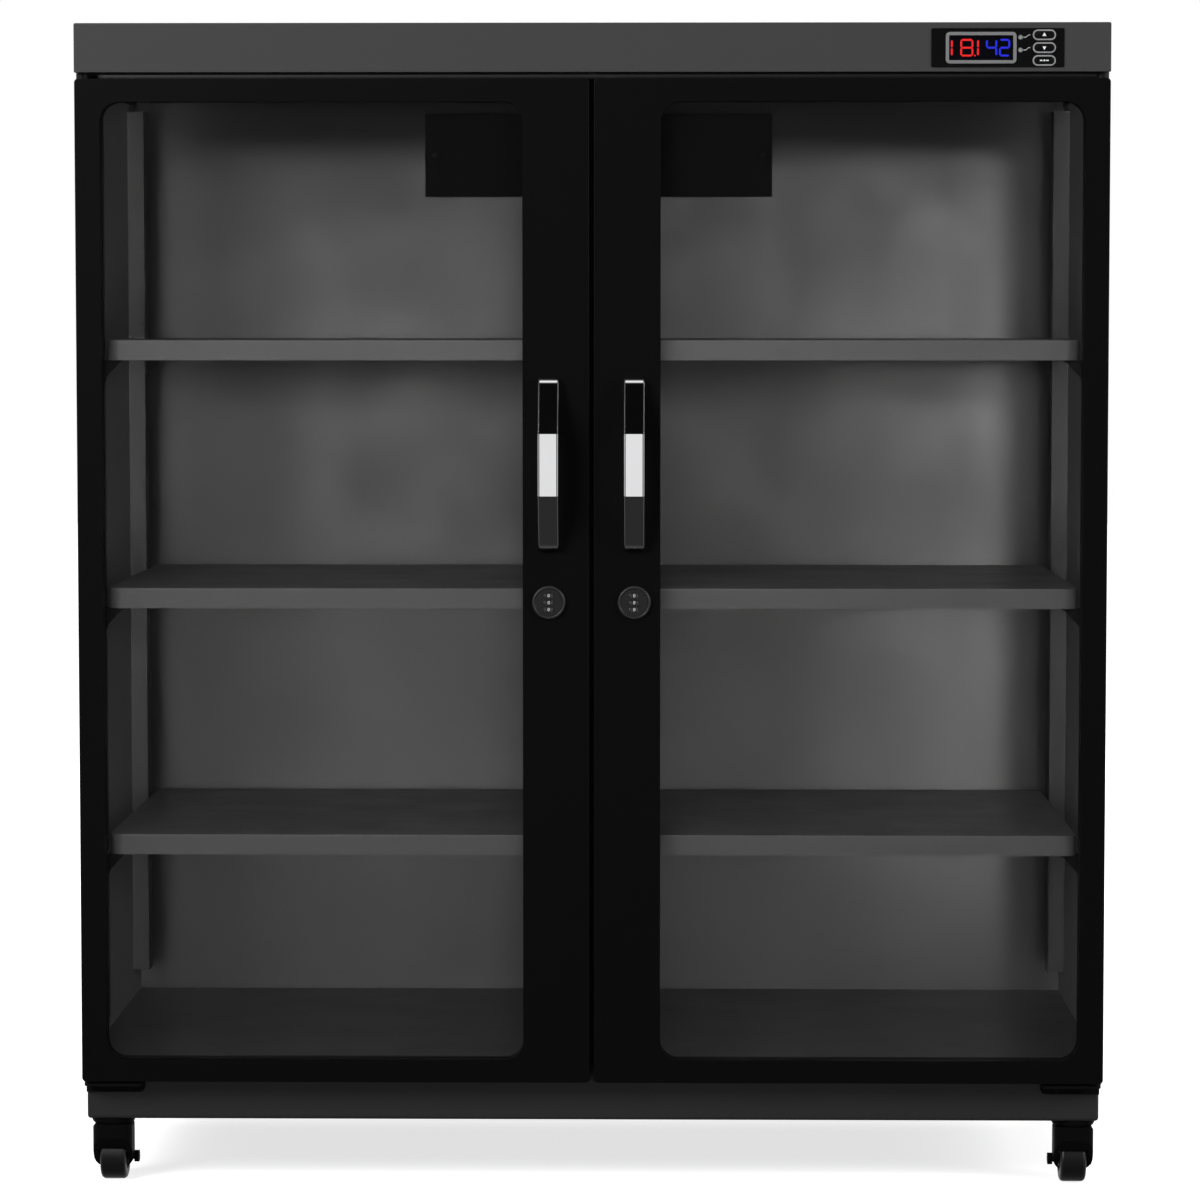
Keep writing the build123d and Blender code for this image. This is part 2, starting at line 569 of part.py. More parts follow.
def upright(front):
    """Slotted channel against the right side wall."""
    bottom = FLOOR_TOP + UPRIGHT_FLOOR_GAP
    top = CEILING - UPRIGHT_ROOF_GAP
    x = (UPRIGHT_FACE, HALF_CHAMBER)
    channel = block(x, (front, front + UPRIGHT_DEPTH), (bottom, top))
    channel -= block((UPRIGHT_FACE + UPRIGHT_SHEET, HALF_CHAMBER),
                     (front + UPRIGHT_SHEET, front + UPRIGHT_DEPTH - UPRIGHT_SHEET), (bottom, top))
    middle = front + UPRIGHT_DEPTH / 2
    rows = int((top - UPRIGHT_ROOF_GAP - slot_height(0)) // SLOT_PITCH) + 1
    slots = [block((UPRIGHT_FACE, UPRIGHT_FACE + UPRIGHT_SHEET),
                   (middle - SLOT_WIDTH / 2, middle + SLOT_WIDTH / 2),
                   (slot_height(row) - SLOT_HEIGHT / 2, slot_height(row) + SLOT_HEIGHT / 2))
             for row in range(rows)]
    return channel - slots


def upright_fronts():
    """Front faces of the front and rear uprights."""
    return (CARCASS_FRONT + FRONT_UPRIGHT_SETBACK,
            BACK_PANEL_FRONT - REAR_UPRIGHT_GAP - UPRIGHT_DEPTH)


def shelf_uprights():
    """Four slotted channels."""
    right = [upright(front) for front in upright_fronts()]
    return group(right + [mirrored(piece) for piece in right])


def shelf_clip(front, index):
    """Bracket hooked into a slot: a back plate, a ledge and a three-cornered web between them."""
    ledge = shelf_top(index) - SHELF_LIP
    slot = slot_height(FIRST_SHELF_SLOT + index * SLOTS_PER_SHELF)
    middle = front + UPRIGHT_DEPTH / 2
    y = (middle - CLIP_WIDTH / 2, middle + CLIP_WIDTH / 2)
    clip = block((UPRIGHT_FACE - CLIP_SHEET, UPRIGHT_FACE), y, (ledge - CLIP_DROP, ledge))
    clip += block((UPRIGHT_FACE - CLIP_REACH, UPRIGHT_FACE), y, (ledge - CLIP_SHEET, ledge))
    web = make_face(Polyline((UPRIGHT_FACE, ledge), (UPRIGHT_FACE - CLIP_REACH, ledge),
                             (UPRIGHT_FACE, ledge - CLIP_DROP), close=True))
    clip += extrude(Plane.XZ.offset(-y[0] - CLIP_SHEET) * web, CLIP_SHEET)
    hook_half = SLOT_WIDTH / 2 - CLIP_HOOK_CLEARANCE
    hook_z = (slot - SLOT_HEIGHT / 2 + CLIP_HOOK_CLEARANCE, ledge)
    clip += block((UPRIGHT_FACE, UPRIGHT_FACE + 2 * UPRIGHT_SHEET),
                  (middle - hook_half, middle + hook_half), hook_z)
    return clip


def shelf_clips():
    """A clip in each upright for every shelf."""
    right = [shelf_clip(front, index) for index in range(SHELF_COUNT) for front in upright_fronts()]
    return group(right + [mirrored(piece) for piece in right])


def shelf(index):
    """Folded tray, lips down, that rests on its clips."""
    top = shelf_top(index)
    half = UPRIGHT_FACE - SHELF_SIDE_GAP
    y = (CARCASS_FRONT + SHELF_FRONT_SETBACK, BACK_PANEL_FRONT - SHELF_REAR_GAP)
    tray = block((-half, half), y, (top - SHELF_LIP, top))
    tray = fillet(tray.edges().filter_by(Axis.Z), SHELF_CORNER)
    tray = fillet(tray.faces().sort_by(Axis.Z)[-1].edges(), SHELF_FOLD)
    inside = half - SHELF_SHEET
    hollow = block((-inside, inside), (y[0] + SHELF_SHEET, y[1] - SHELF_SHEET),
                   (top - SHELF_LIP, top - SHELF_SHEET))
    return tray - fillet(hollow.edges().filter_by(Axis.Z), SHELF_CORNER - SHELF_SHEET)


# ---- Control panel ---------------------------------------------------------------------------
def panel_span():
    """The panel's x and z extents."""
    right = HALF_WIDTH - PANEL_RIGHT_INSET
    bottom = CARCASS_TOP + PANEL_RISE
    return (right - PANEL_WIDTH, right), (bottom, bottom + PANEL_HEIGHT)


def button_place(index):
    """Centre of one button, counted from the top."""
    x, z = panel_span()
    return x[0] + BUTTON_OFFSET, (z[0] + z[1]) / 2 + (1 - index) * BUTTON_PITCH


def display_place():
    """Centre of the display."""
    x, z = panel_span()
    return x[0] + DISPLAY_OFFSET, (z[0] + z[1]) / 2


def led_places():
    """Centres of the two indicator lamps."""
    x, z = panel_span()
    return [(x[0] + LED_OFFSET, button_place(row)[1] - 2.0) for row in range(2)]


def control_panel():
    """Moulded plate in the fascia, on two legs, with openings for display, lamps and buttons."""
    x, z = panel_span()
    front = DOOR_FRONT - PANEL_FLANGE
    back = DOOR_FRONT + PANEL_TRAY_DEPTH
    tray = panel_y(x, z, (front, DOOR_FRONT), corner=PANEL_CORNER)
    tray += panel_y(x, z, (DOOR_FRONT, back), margin=-PANEL_LAP)
    leg = PANEL_LAP + PANEL_LEG
    tray -= block((x[0] + leg, x[1] - leg), (DOOR_FRONT + PANEL_SKIN, back), z)
    skin = (front, DOOR_FRONT + PANEL_SKIN)
    tray -= prism_y(RectangleRounded(DISPLAY_WIDTH, DISPLAY_HEIGHT, DISPLAY_CORNER),
                    *display_place(), skin)
    for index in range(3):
        hole = SlotOverall(BUTTON_WIDTH + 2 * BUTTON_GAP, BUTTON_HEIGHT + 2 * BUTTON_GAP)
        tray -= prism_y(hole, *button_place(index), skin)
    for place in led_places():
        tray -= rod_y(*place, LED_RADIUS, skin)
    return tray


def display_module():
    """Display block with its window flush in the panel."""
    back = DOOR_FRONT + PANEL_TRAY_DEPTH
    return prism_y(RectangleRounded(DISPLAY_WIDTH, DISPLAY_HEIGHT, DISPLAY_CORNER),
                   *display_place(), (DOOR_FRONT - PANEL_FLANGE, back))


def indicator_leds():
    """Two lamps that stand on the board and reach the panel's face."""
    back = DOOR_FRONT + PANEL_TRAY_DEPTH
    return group(rod_y(*place, LED_RADIUS, (DOOR_FRONT - PANEL_FLANGE, back))
                 for place in led_places())


def button(index):
    """Button cap with a flange that keeps it behind the panel."""
    face = DOOR_FRONT - PANEL_FLANGE - BUTTON_PROUD
    rear = DOOR_FRONT + PANEL_TRAY_DEPTH - SWITCH_HEIGHT - BUTTON_TRAVEL - BUTTON_GAP
    flange = DOOR_FRONT + PANEL_SKIN + BUTTON_GAP
    place = button_place(index)
    cap = prism_y(SlotOverall(BUTTON_WIDTH, BUTTON_HEIGHT), *place, (face, flange))
    cap = chamfer(cap.edges().group_by(Axis.Y)[0], BUTTON_PROUD / 2)
    wide = SlotOverall(BUTTON_WIDTH + 2 * BUTTON_FLANGE + 2 * BUTTON_GAP,
                       BUTTON_HEIGHT + 2 * BUTTON_FLANGE)
    return cap + prism_y(wide, *place, (flange, rear))


def control_board():
    """Circuit board on the panel's legs, with a switch behind each button."""
    x, z = panel_span()
    face = DOOR_FRONT + PANEL_TRAY_DEPTH
    board = panel_y(x, z, (face, face + BOARD_THICKNESS), margin=-PANEL_LAP)
    for index in range(3):
        switch = Rectangle(SWITCH_SIZE, SWITCH_SIZE)
        board += prism_y(switch, *button_place(index), (face - SWITCH_HEIGHT, face))
    return board


# ---- Dryer unit ------------------------------------------------------------------------------
def vent_centres():
    """Middles of the vent slots along the dryer."""
    return [(index - (VENT_COUNT - 1) / 2) * VENT_PITCH for index in range(VENT_COUNT)]


def vent_slots(y, z):
    """A row of upright slots through a horizontal wall."""
    return [block((x - VENT_WIDTH / 2, x + VENT_WIDTH / 2), y, z) for x in vent_centres()]


def dryer_cover():
    """Plain cover inside the chamber, vented along its lower edge."""
    x, z = dryer_span()
    y = (BACK_PANEL_FRONT - DRYER_COVER_DEPTH, BACK_PANEL_FRONT)
    shell = panel_y(x, z, y, corner=DRYER_COVER_CORNER)
    shell -= panel_y(x, z, (y[0] + DRYER_WALL, y[1]), margin=-DRYER_WALL)
    slots_y = (y[0] + DRYER_WALL, y[1] - DRYER_WALL)
    shell -= vent_slots(slots_y, (z[0], z[0] + DRYER_WALL))
    ear_x = SHUTTER_LENGTH / 2 + CLOSING_GAP
    ear = block((ear_x, ear_x + DRYER_WALL), (y[0] + DRYER_WALL, y[1]),
                (z[0] + DRYER_WALL, z[0] + 3 * DRYER_WALL))
    ear -= rod_x(*inner_shutter_axis(), SHUTTER_PIN_RADIUS + PIN_CLEARANCE,
                 (ear_x, ear_x + DRYER_WALL))
    return shell + ear + mirrored(ear)


def dryer_case():
    """Housing behind the back panel, with a mounting rim and vents along its lower edge."""
    x, z = dryer_span()
    y = (BACK_PANEL_REAR, BACK_PANEL_REAR + DRYER_CASE_DEPTH)
    shell = panel_y(x, z, y, corner=DRYER_CASE_CORNER)
    shell -= panel_y(x, z, (y[0], y[1] - DRYER_WALL), margin=-DRYER_WALL)
    slots_y = (y[0] + DRYER_WALL, y[1] - 2 * DRYER_WALL)
    shell -= vent_slots(slots_y, (z[0], z[0] + DRYER_WALL))
    ear_x = SHUTTER_LENGTH / 2 + CLOSING_GAP
    ear = block((ear_x, ear_x + DRYER_WALL), (y[0], y[1] - DRYER_WALL),
                (z[0] + DRYER_WALL, z[0] + 3 * DRYER_WALL))
    ear -= rod_x(*outer_shutter_axis(), SHUTTER_PIN_RADIUS + PIN_CLEARANCE,
                 (ear_x, ear_x + DRYER_WALL))
    return shell + ear + mirrored(ear)


def shutter_axis(rear_wall):
    """Pivot of a shutter whose pins lie just inside a rear wall."""
    z = dryer_span()[1]
    return rear_wall - SHUTTER_PIN_RADIUS - CLOSING_GAP, z[0] + 2 * DRYER_WALL


def inner_shutter_axis():
    """Pivot of the shutter over the chamber vents."""
    return shutter_axis(BACK_PANEL_FRONT)


def outer_shutter_axis():
    """Pivot of the shutter over the outside vents."""
    return shutter_axis(BACK_PANEL_REAR + DRYER_CASE_DEPTH - DRYER_WALL)


def shutter(axis, reach, opened):
    """Flap on two stub pins, lying over its vents or turned up by an angle."""
    y, z = axis
    half = SHUTTER_LENGTH / 2
    flap = block((-half, half), (y - reach, y), (z - SHUTTER_THICKNESS / 2, z + SHUTTER_THICKNESS / 2))
    flap += rod_x(y, z, SHUTTER_PIN_RADIUS,
                  (-half - CLOSING_GAP - DRYER_WALL, half + CLOSING_GAP + DRYER_WALL))
    return flap.rotate(Axis((0, y, z), (1, 0, 0)), -opened)


def inner_shutter():
    """Chamber-side flap, open while the desiccant takes up moisture."""
    reach = DRYER_COVER_DEPTH - DRYER_WALL - SHUTTER_PIN_RADIUS - 2 * CLOSING_GAP
    return shutter(inner_shutter_axis(), reach, SHUTTER_OPEN_ANGLE)


def outer_shutter():
    """Outside flap, closed while the desiccant takes up moisture."""
    reach = DRYER_CASE_DEPTH - 2 * DRYER_WALL - SHUTTER_PIN_RADIUS - 2 * CLOSING_GAP
    return shutter(outer_shutter_axis(), reach, 0.0)


def desiccant_pack():
    """Finned desiccant cassette with its heater, screwed to the case."""
    top = dryer_span()[1][1] - DRYER_LAP - DRYER_WALL
    back = BACK_PANEL_REAR + DRYER_CASE_DEPTH - DRYER_WALL
    front = BACK_PANEL_FRONT
    half = DESICCANT_LENGTH / 2
    return block((-half, half), (front, back), (top - DESICCANT_HEIGHT, top))


def shutter_actuator():
    """Shape-memory actuator barrel beside the cassette."""
    top = dryer_span()[1][1] - DRYER_WALL
    back = BACK_PANEL_REAR + DRYER_CASE_DEPTH - DRYER_WALL
    radius = (back - BACK_PANEL_REAR) / 2
    x = DRYER_WIDTH / 2 - DRYER_LAP - 2 * radius
    return rod_z(x, back - radius, radius, (top - DESICCANT_HEIGHT, top))


# ---- Chamber sensor and power inlet ----------------------------------------------------------
def humidity_sensor():
    """Slotted sensor housing under the ceiling."""
    x = (HALF_OPENING - 2 * SENSOR_WIDTH, HALF_OPENING - SENSOR_WIDTH)
    y = (CARCASS_FRONT + 2 * SENSOR_DEPTH, CARCASS_FRONT + 3 * SENSOR_DEPTH)
    housing = block(x, y, (CEILING - SENSOR_HEIGHT, CEILING))
    pitch = SENSOR_WIDTH / (SENSOR_SLOTS + 1)
    wall = DRYER_WALL
    slots = [block((x[0] + pitch * step - wall / 2, x[0] + pitch * step + wall / 2),
                   (y[0] + wall, y[1] - wall), (CEILING - SENSOR_HEIGHT, CEILING - SENSOR_HEIGHT / 2))
             for step in range(1, SENSOR_SLOTS + 1)]
    return housing - slots


def inlet_place():
    """Centre of the power inlet in the cover's rear wall."""
    return DRYER_WIDTH / 2, (CARCASS_TOP + COVER_TOP) / 2


def power_inlet():
    """Barrel inlet with a nut outside the cover and a contact pin in its bore."""
    place = inlet_place()
    rear = CARCASS_BACK + INLET_PIN_RADIUS * 3
    inlet = rod_y(*place, INLET_RADIUS, (CARCASS_BACK - 2 * INLET_NUT_RADIUS, rear))
    inlet += rod_y(*place, INLET_NUT_RADIUS, (CARCASS_BACK, rear))
    inlet -= rod_y(*place, INLET_BORE_RADIUS, (rear - INLET_BORE_DEPTH, rear))
    return inlet + rod_y(*place, INLET_PIN_RADIUS, (rear - INLET_BORE_DEPTH, rear - INLET_PIN_RADIUS))


# ---- Castors ---------------------------------------------------------------------------------
CASTOR_X = HALF_CARCASS - CASTOR_INSET_X
CASTOR_YS = (CARCASS_FRONT + CASTOR_INSET_Y, CARCASS_BACK - CASTOR_INSET_Y - CASTOR_TRAIL)
FLANGE_BOTTOM = CASTOR_HEIGHT - CASTOR_FLANGE_HEIGHT
YOKE_TOP = FLANGE_BOTTOM - CLOSING_GAP
WELL_RADIUS = WHEEL_RADIUS + YOKE_WHEEL_GAP


def castor_mount():
    """Flange under the plinth that sweeps in to the yoke, with the stem that the yoke turns on."""
    rim_bottom = CASTOR_HEIGHT - CASTOR_FLANGE_RIM
    sweep = RadiusArc((CASTOR_FLANGE_RADIUS, rim_bottom), (YOKE_HEAD_RADIUS, FLANGE_BOTTOM),
                      CASTOR_FLANGE_HEIGHT)
    edge = Polyline((YOKE_HEAD_RADIUS, FLANGE_BOTTOM), (0, FLANGE_BOTTOM), (0, CASTOR_HEIGHT),
                    (CASTOR_FLANGE_RADIUS, CASTOR_HEIGHT), (CASTOR_FLANGE_RADIUS, rim_bottom))
    flange = revolve(make_face(Plane.XZ * (sweep + edge)), Axis.Z)
    stem_bottom = WHEEL_RADIUS + WELL_RADIUS + YOKE_WHEEL_GAP
    return flange + rod_z(0, 0, CASTOR_STEM_RADIUS, (stem_bottom, FLANGE_BOTTOM))


def castor_yoke():
    """Hooded yoke: a rounded head over two legs that narrow, and curve in, to the axle."""
    depth = 2 * YOKE_HEAD_RADIUS
    head = Pos(0, YOKE_TOP - CASTOR_FLANGE_HEIGHT) * Rectangle(depth, 2 * CASTOR_FLANGE_HEIGHT)
    leg_end = Pos(CASTOR_TRAIL, WHEEL_RADIUS) * Circle(YOKE_LEG_RADIUS)
    side = make_hull(head.edges() + leg_end.edges())
    yoke = extrude(Plane.YZ * side, YOKE_WIDTH / 2, both=True)
    yoke &= extrude(RectangleRounded(YOKE_WIDTH, depth, YOKE_CORNER), YOKE_TOP)
    leg_bottom = WHEEL_RADIUS - YOKE_LEG_RADIUS
    front = Pos(0, (leg_bottom + YOKE_TOP) / 2) * Rectangle(YOKE_WIDTH, YOKE_TOP - leg_bottom)
    front = fillet(front.vertices().group_by(Axis.Y)[0], YOKE_LEG_CURVE)
    front = fillet(front.vertices().group_by(Axis.Y)[-1], YOKE_SHOULDER)
    yoke &= extrude(Plane.XZ * front, depth / 2, both=True)
    half_well = WHEEL_WIDTH / 2 + YOKE_WHEEL_GAP
    yoke -= rod_x(CASTOR_TRAIL, WHEEL_RADIUS, WELL_RADIUS, (-half_well, half_well))
    yoke -= block((-half_well, half_well), (CASTOR_TRAIL - WELL_RADIUS, CASTOR_TRAIL + WELL_RADIUS),
                  (0, WHEEL_RADIUS))
    yoke -= rod_z(0, 0, CASTOR_STEM_RADIUS + AXLE_CLEARANCE, (WHEEL_RADIUS, YOKE_TOP))
    return yoke - rod_x(CASTOR_TRAIL, WHEEL_RADIUS, AXLE_RADIUS, (-YOKE_WIDTH / 2, YOKE_WIDTH / 2))


def castor_axle():
    """Axle bolt with its nut on the inner side of the yoke."""
    half = YOKE_WIDTH / 2
    axle = rod_x(CASTOR_TRAIL, WHEEL_RADIUS, AXLE_RADIUS, (-half, half))
    nut = Pos(CASTOR_TRAIL, WHEEL_RADIUS) * RegularPolygon(AXLE_NUT_RADIUS, 6)
    return axle + extrude(Plane.YZ.offset(-half) * nut, -AXLE_NUT_HEIGHT)


def castor_wheel():
    """Wheel with bevelled shoulders, dished faces and a bore that runs on the axle."""
    half = WHEEL_WIDTH / 2
    dish = 0.7 * (WHEEL_RADIUS - WHEEL_SHOULDER)
    section = Rectangle(WHEEL_WIDTH, WHEEL_RADIUS, align=(Align.CENTER, Align.MIN))
    section = chamfer(section.vertices().group_by(Axis.Y)[-1], WHEEL_SHOULDER * 0.6)
    section = chamfer(section.vertices().filter_by(lambda corner: corner.Y > dish), WHEEL_SHOULDER / 4)
    wheel = Pos(0, CASTOR_TRAIL, WHEEL_RADIUS) * revolve(section, Axis.X)
    hub = 2.2 * AXLE_RADIUS
    for side in (-1, 1):
        face = (side * half, side * (half - WHEEL_SHOULDER))
        recess = rod_x(CASTOR_TRAIL, WHEEL_RADIUS, dish, face)
        wheel -= recess - rod_x(CASTOR_TRAIL, WHEEL_RADIUS, hub, face)
    return wheel - rod_x(CASTOR_TRAIL, WHEEL_RADIUS, AXLE_RADIUS + AXLE_CLEARANCE, (-half, half))


def castor_places():
    """Corner names with each castor's position and side."""
    return [(f"{end}_{side}", sign * CASTOR_X, y, sign)
            for end, y in zip(("front", "rear"), CASTOR_YS)
            for side, sign in (("left", -1), ("right", 1))]


def castors():
    """The mounts as one group, and a yoke and a wheel for every corner."""
    places = castor_places()
    mount = castor_mount()
    yoke = group([castor_yoke(), castor_axle()])
    wheel = castor_wheel()
    parts = {"castor_mounts": group(Pos(x, y, 0) * mount for _, x, y, _ in places)}
    for corner, x, y, sign in places:
        parts[f"castor_yoke_{corner}"] = Pos(x, y, 0) * (yoke if sign > 0 else mirrored(yoke))
        parts[f"castor_wheel_{corner}"] = Pos(x, y, 0) * wheel
    return parts


# ---- The assembly ----------------------------------------------------------------------------
def door_parts():
    """Every piece of the right-hand door and its lock."""
    parts = {
        "door_frame": door_frame(),
        "door_liner": door_liner(),
        "door_glass": door_glass(),
        "door_seals": door_seals(),
        "door_bushes": door_bushes(),
        "door_handle": handle(),
        "lock_bezel": lock_bezel(),
        "lock_core": lock_core(),
    }
    for index in range(DIAL_COUNT):
        parts[f"lock_dial_{index + 1}"] = lock_dial(index)
    return parts


def all_parts():
    """Node name to shape, for the whole cabinet."""
    parts = {
        "base_plinth": base_plinth(),
        "side_panel_right": side_panel(),
        "side_panel_left": mirrored(side_panel()),
        "back_panel": back_panel(),
        "roof_panel": roof_panel(),
        "floor_pan": floor_pan(),
        "front_frame": front_frame(),
        "top_cover": top_cover(),
        "hinge_brackets": group([upper_bracket(), mirrored(upper_bracket()),
                                 lower_bracket(), mirrored(lower_bracket())]),
        "shelf_uprights": shelf_uprights(),
        "shelf_clips": shelf_clips(),
        "control_panel": control_panel(),
        "display_module": display_module(),
        "indicator_leds": indicator_leds(),
        "control_board": control_board(),
        "dryer_cover": dryer_cover(),
        "dryer_case": dryer_case(),
        "desiccant_pack": desiccant_pack(),
        "shutter_actuator": shutter_actuator(),
        "inner_shutter": inner_shutter(),
        "outer_shutter": outer_shutter(),
        "humidity_sensor": humidity_sensor(),
        "power_inlet": power_inlet(),
    }
    for index, name in enumerate(("lower", "middle", "upper")):
        parts[f"shelf_{name}"] = shelf(index)
    for index, name in enumerate(("up", "down", "set")):
        parts[f"button_{name}"] = button(index)
    for name, shape in door_parts().items():
        parts[f"{name}_right"] = shape
        parts[f"{name}_left"] = mirrored(shape)
    parts.update(castors())
    return parts


os.makedirs("parts", exist_ok=True)
for node, shape in all_parts().items():
    export_step(shape, f"parts/{node}.step")
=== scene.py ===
"""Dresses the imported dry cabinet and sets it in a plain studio.

Every steel, glass, chrome, plastic and rubber surface gets its finish here. The small pieces that
the frame leaves out are modelled here: display digits, button faces, lock numbers, screws, hub
caps. Metres, +Z up, doors towards -Y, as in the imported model.
"""
import logging
import math
from dataclasses import dataclass
from enum import Enum
from typing import Any, Callable, ClassVar, Iterable, Sequence

import bmesh
import bpy
from mathutils import Matrix, Vector

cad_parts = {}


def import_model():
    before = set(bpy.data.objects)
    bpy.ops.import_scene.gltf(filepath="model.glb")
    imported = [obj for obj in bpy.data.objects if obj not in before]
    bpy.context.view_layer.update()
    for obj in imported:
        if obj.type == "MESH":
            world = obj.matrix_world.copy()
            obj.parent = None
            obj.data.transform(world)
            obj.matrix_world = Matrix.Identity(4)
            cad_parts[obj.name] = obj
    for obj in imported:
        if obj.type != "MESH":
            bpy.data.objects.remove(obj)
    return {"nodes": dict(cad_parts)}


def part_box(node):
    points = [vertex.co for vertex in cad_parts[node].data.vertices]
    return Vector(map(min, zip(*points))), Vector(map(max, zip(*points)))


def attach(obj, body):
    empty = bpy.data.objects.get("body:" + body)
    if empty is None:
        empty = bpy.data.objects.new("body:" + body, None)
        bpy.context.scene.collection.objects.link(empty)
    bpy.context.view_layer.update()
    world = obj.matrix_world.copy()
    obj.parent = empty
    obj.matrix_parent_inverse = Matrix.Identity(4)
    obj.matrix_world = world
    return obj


LOG = logging.getLogger("dry_cabinet")
MM = 0.001
SMOOTH_ANGLE = math.radians(35)
ALONG = 0.9      # least part of a direction along an axis that counts as running along it
ACROSS = 0.5     # greatest part that counts as running across it
# Colour of settled dust on upward faces; on the wheels' treads the same colour is a painted
# highlight.
DUST_AND_SHEEN_COLOUR = (0.32, 0.31, 0.29)
DUST_ROUGHNESS = 0.4
MARK_ROUGHNESS = 0.2
COAT_ROUGHNESS = 0.12
RELIEF_STRENGTH = 0.6
GLOW_TONE = 0.9
MIX_SHARE, MIX_FIRST, MIX_SECOND, MIX_RESULT = 0, 6, 7, 2   # colour sockets of the Mix node

Colour = tuple[float, float, float]
Place = tuple[float, float, float]


# ---- Names and options -----------------------------------------------------------------------
class Side(Enum):
    """A side of the cabinet as seen from the front, with the sign of its x."""

    LEFT = -1
    RIGHT = 1

    @property
    def word(self) -> str:
        """The side's name as node names spell it."""
        return self.name.lower()


class Pattern(Enum):
    """How the fine relief of a surface runs: patch scale, grain scale and stretch."""

    POWDER = (14.0, 900.0, (1.0, 1.0, 1.0))
    MOULDED = (30.0, 1600.0, (1.0, 1.0, 1.0))
    RUBBER = (40.0, 700.0, (1.0, 1.0, 1.0))
    BRUSHED = (60.0, 220.0, (14.0, 14.0, 0.6))
    TURNED = (60.0, 500.0, (1.0, 1.0, 1.0))
    POLISHED = (9.0, 120.0, (1.0, 1.0, 1.0))


class Facing(Enum):
    """The direction in which a small fitting points, as the turn that takes +Z there."""

    FRONT = Matrix.Rotation(math.radians(90), 4, "X")
    REAR = Matrix.Rotation(math.radians(-90), 4, "X")
    LEFT = Matrix.Rotation(math.radians(-90), 4, "Y")
    RIGHT = Matrix.Rotation(math.radians(90), 4, "Y")
    UP = Matrix.Identity(4)


# ---- Shader wiring ---------------------------------------------------------------------------
class Sheet:
    """A node tree while it is being wired."""

    def __init__(self, tree: bpy.types.NodeTree) -> None:
        """Keeps the tree.

        Args:
            tree: The node tree to wire.
        """
        self.tree = tree

    @classmethod
    def of(cls, holder: bpy.types.Material | bpy.types.World) -> "Sheet":
        """Starts on a material's or a world's empty tree.

        Args:
            holder: The material or world.

        Returns:
            The sheet.
        """
        holder.use_nodes = True
        holder.node_tree.nodes.clear()
        return cls(holder.node_tree)

    def add(self, kind: str, settings: dict[str, Any] | None = None,
            **sockets: Any) -> bpy.types.Node:
        """Adds a node.

        Args:
            kind: Blender's type name without "ShaderNode".
            settings: Properties of the node itself.
            sockets: Input values or output sockets, keyed by input name with _ for spaces.

        Returns:
            The new node.
        """
        node = self.tree.nodes.new(kind if kind.startswith("Node") else f"ShaderNode{kind}")
        for name, value in (settings or {}).items():
            setattr(node, name, value)
        for name, value in sockets.items():
            self.feed(node.inputs[name.replace("_", " ")], value)
        return node

    def feed(self, socket: bpy.types.NodeSocket, value: Any) -> None:
        """Links a socket to another, or sets its value.

        Args:
            socket: The input.
            value: An output socket, or a plain value.
        """
        if isinstance(value, bpy.types.NodeSocket):
            self.tree.links.new(value, socket)
        else:
            socket.default_value = value

    def spread(self, value: bpy.types.NodeSocket, low: float, high: float) -> bpy.types.NodeSocket:
        """Maps a 0 to 1 value to a range.

        Args:
            value: The value's socket.
            low: Result at 0.
            high: Result at 1.

        Returns:
            The result's socket.
        """
        node = self.add("MapRange", To_Min=low, To_Max=high, Value=value)
        return node.outputs["Result"]

    def window(self, value: bpy.types.NodeSocket, start: float, end: float) -> bpy.types.NodeSocket:
        """Stretches part of a value's range to 0 to 1.

        Args:
            value: The value's socket.
            start: Value that becomes 0.
            end: Value that becomes 1.

        Returns:
            The result's socket.
        """
        node = self.add("MapRange", From_Min=start, From_Max=end, Value=value)
        return node.outputs["Result"]

    def blend(self, share: Any, first: Any, second: Any) -> bpy.types.NodeSocket:
        """Mixes two colours.

        Args:
            share: Share of the second colour.
            first: First colour or its socket.
            second: Second colour or its socket.

        Returns:
            The mixed colour's socket.
        """
        node = self.add("Mix", {"data_type": "RGBA"})
        self.feed(node.inputs[MIX_SHARE], share)
        self.feed(node.inputs[MIX_FIRST], first)
        self.feed(node.inputs[MIX_SECOND], second)
        return node.outputs[MIX_RESULT]

    def sum(self, operation: str, first: Any, second: Any) -> bpy.types.NodeSocket:
        """Works out one arithmetic step.

        Args:
            operation: Blender's name of the operation.
            first: First value or socket.
            second: Second value or socket.

        Returns:
            The result's socket.
        """
        return self.paired("Math", {"operation": operation}, first, second).outputs[0]

    def paired(self, kind: str, settings: dict[str, Any] | None, first: Any, second: Any,
               start: int = 0) -> bpy.types.Node:
        """Adds a node whose two inputs have no names of their own.

        Args:
            kind: Blender's type name without "ShaderNode".
            settings: Properties of the node itself.
            first: First value or socket.
            second: Second value or socket.
            start: Number of the first input.

        Returns:
            The new node.
        """
        node = self.add(kind, settings)
        self.feed(node.inputs[start], first)
        self.feed(node.inputs[start + 1], second)
        return node


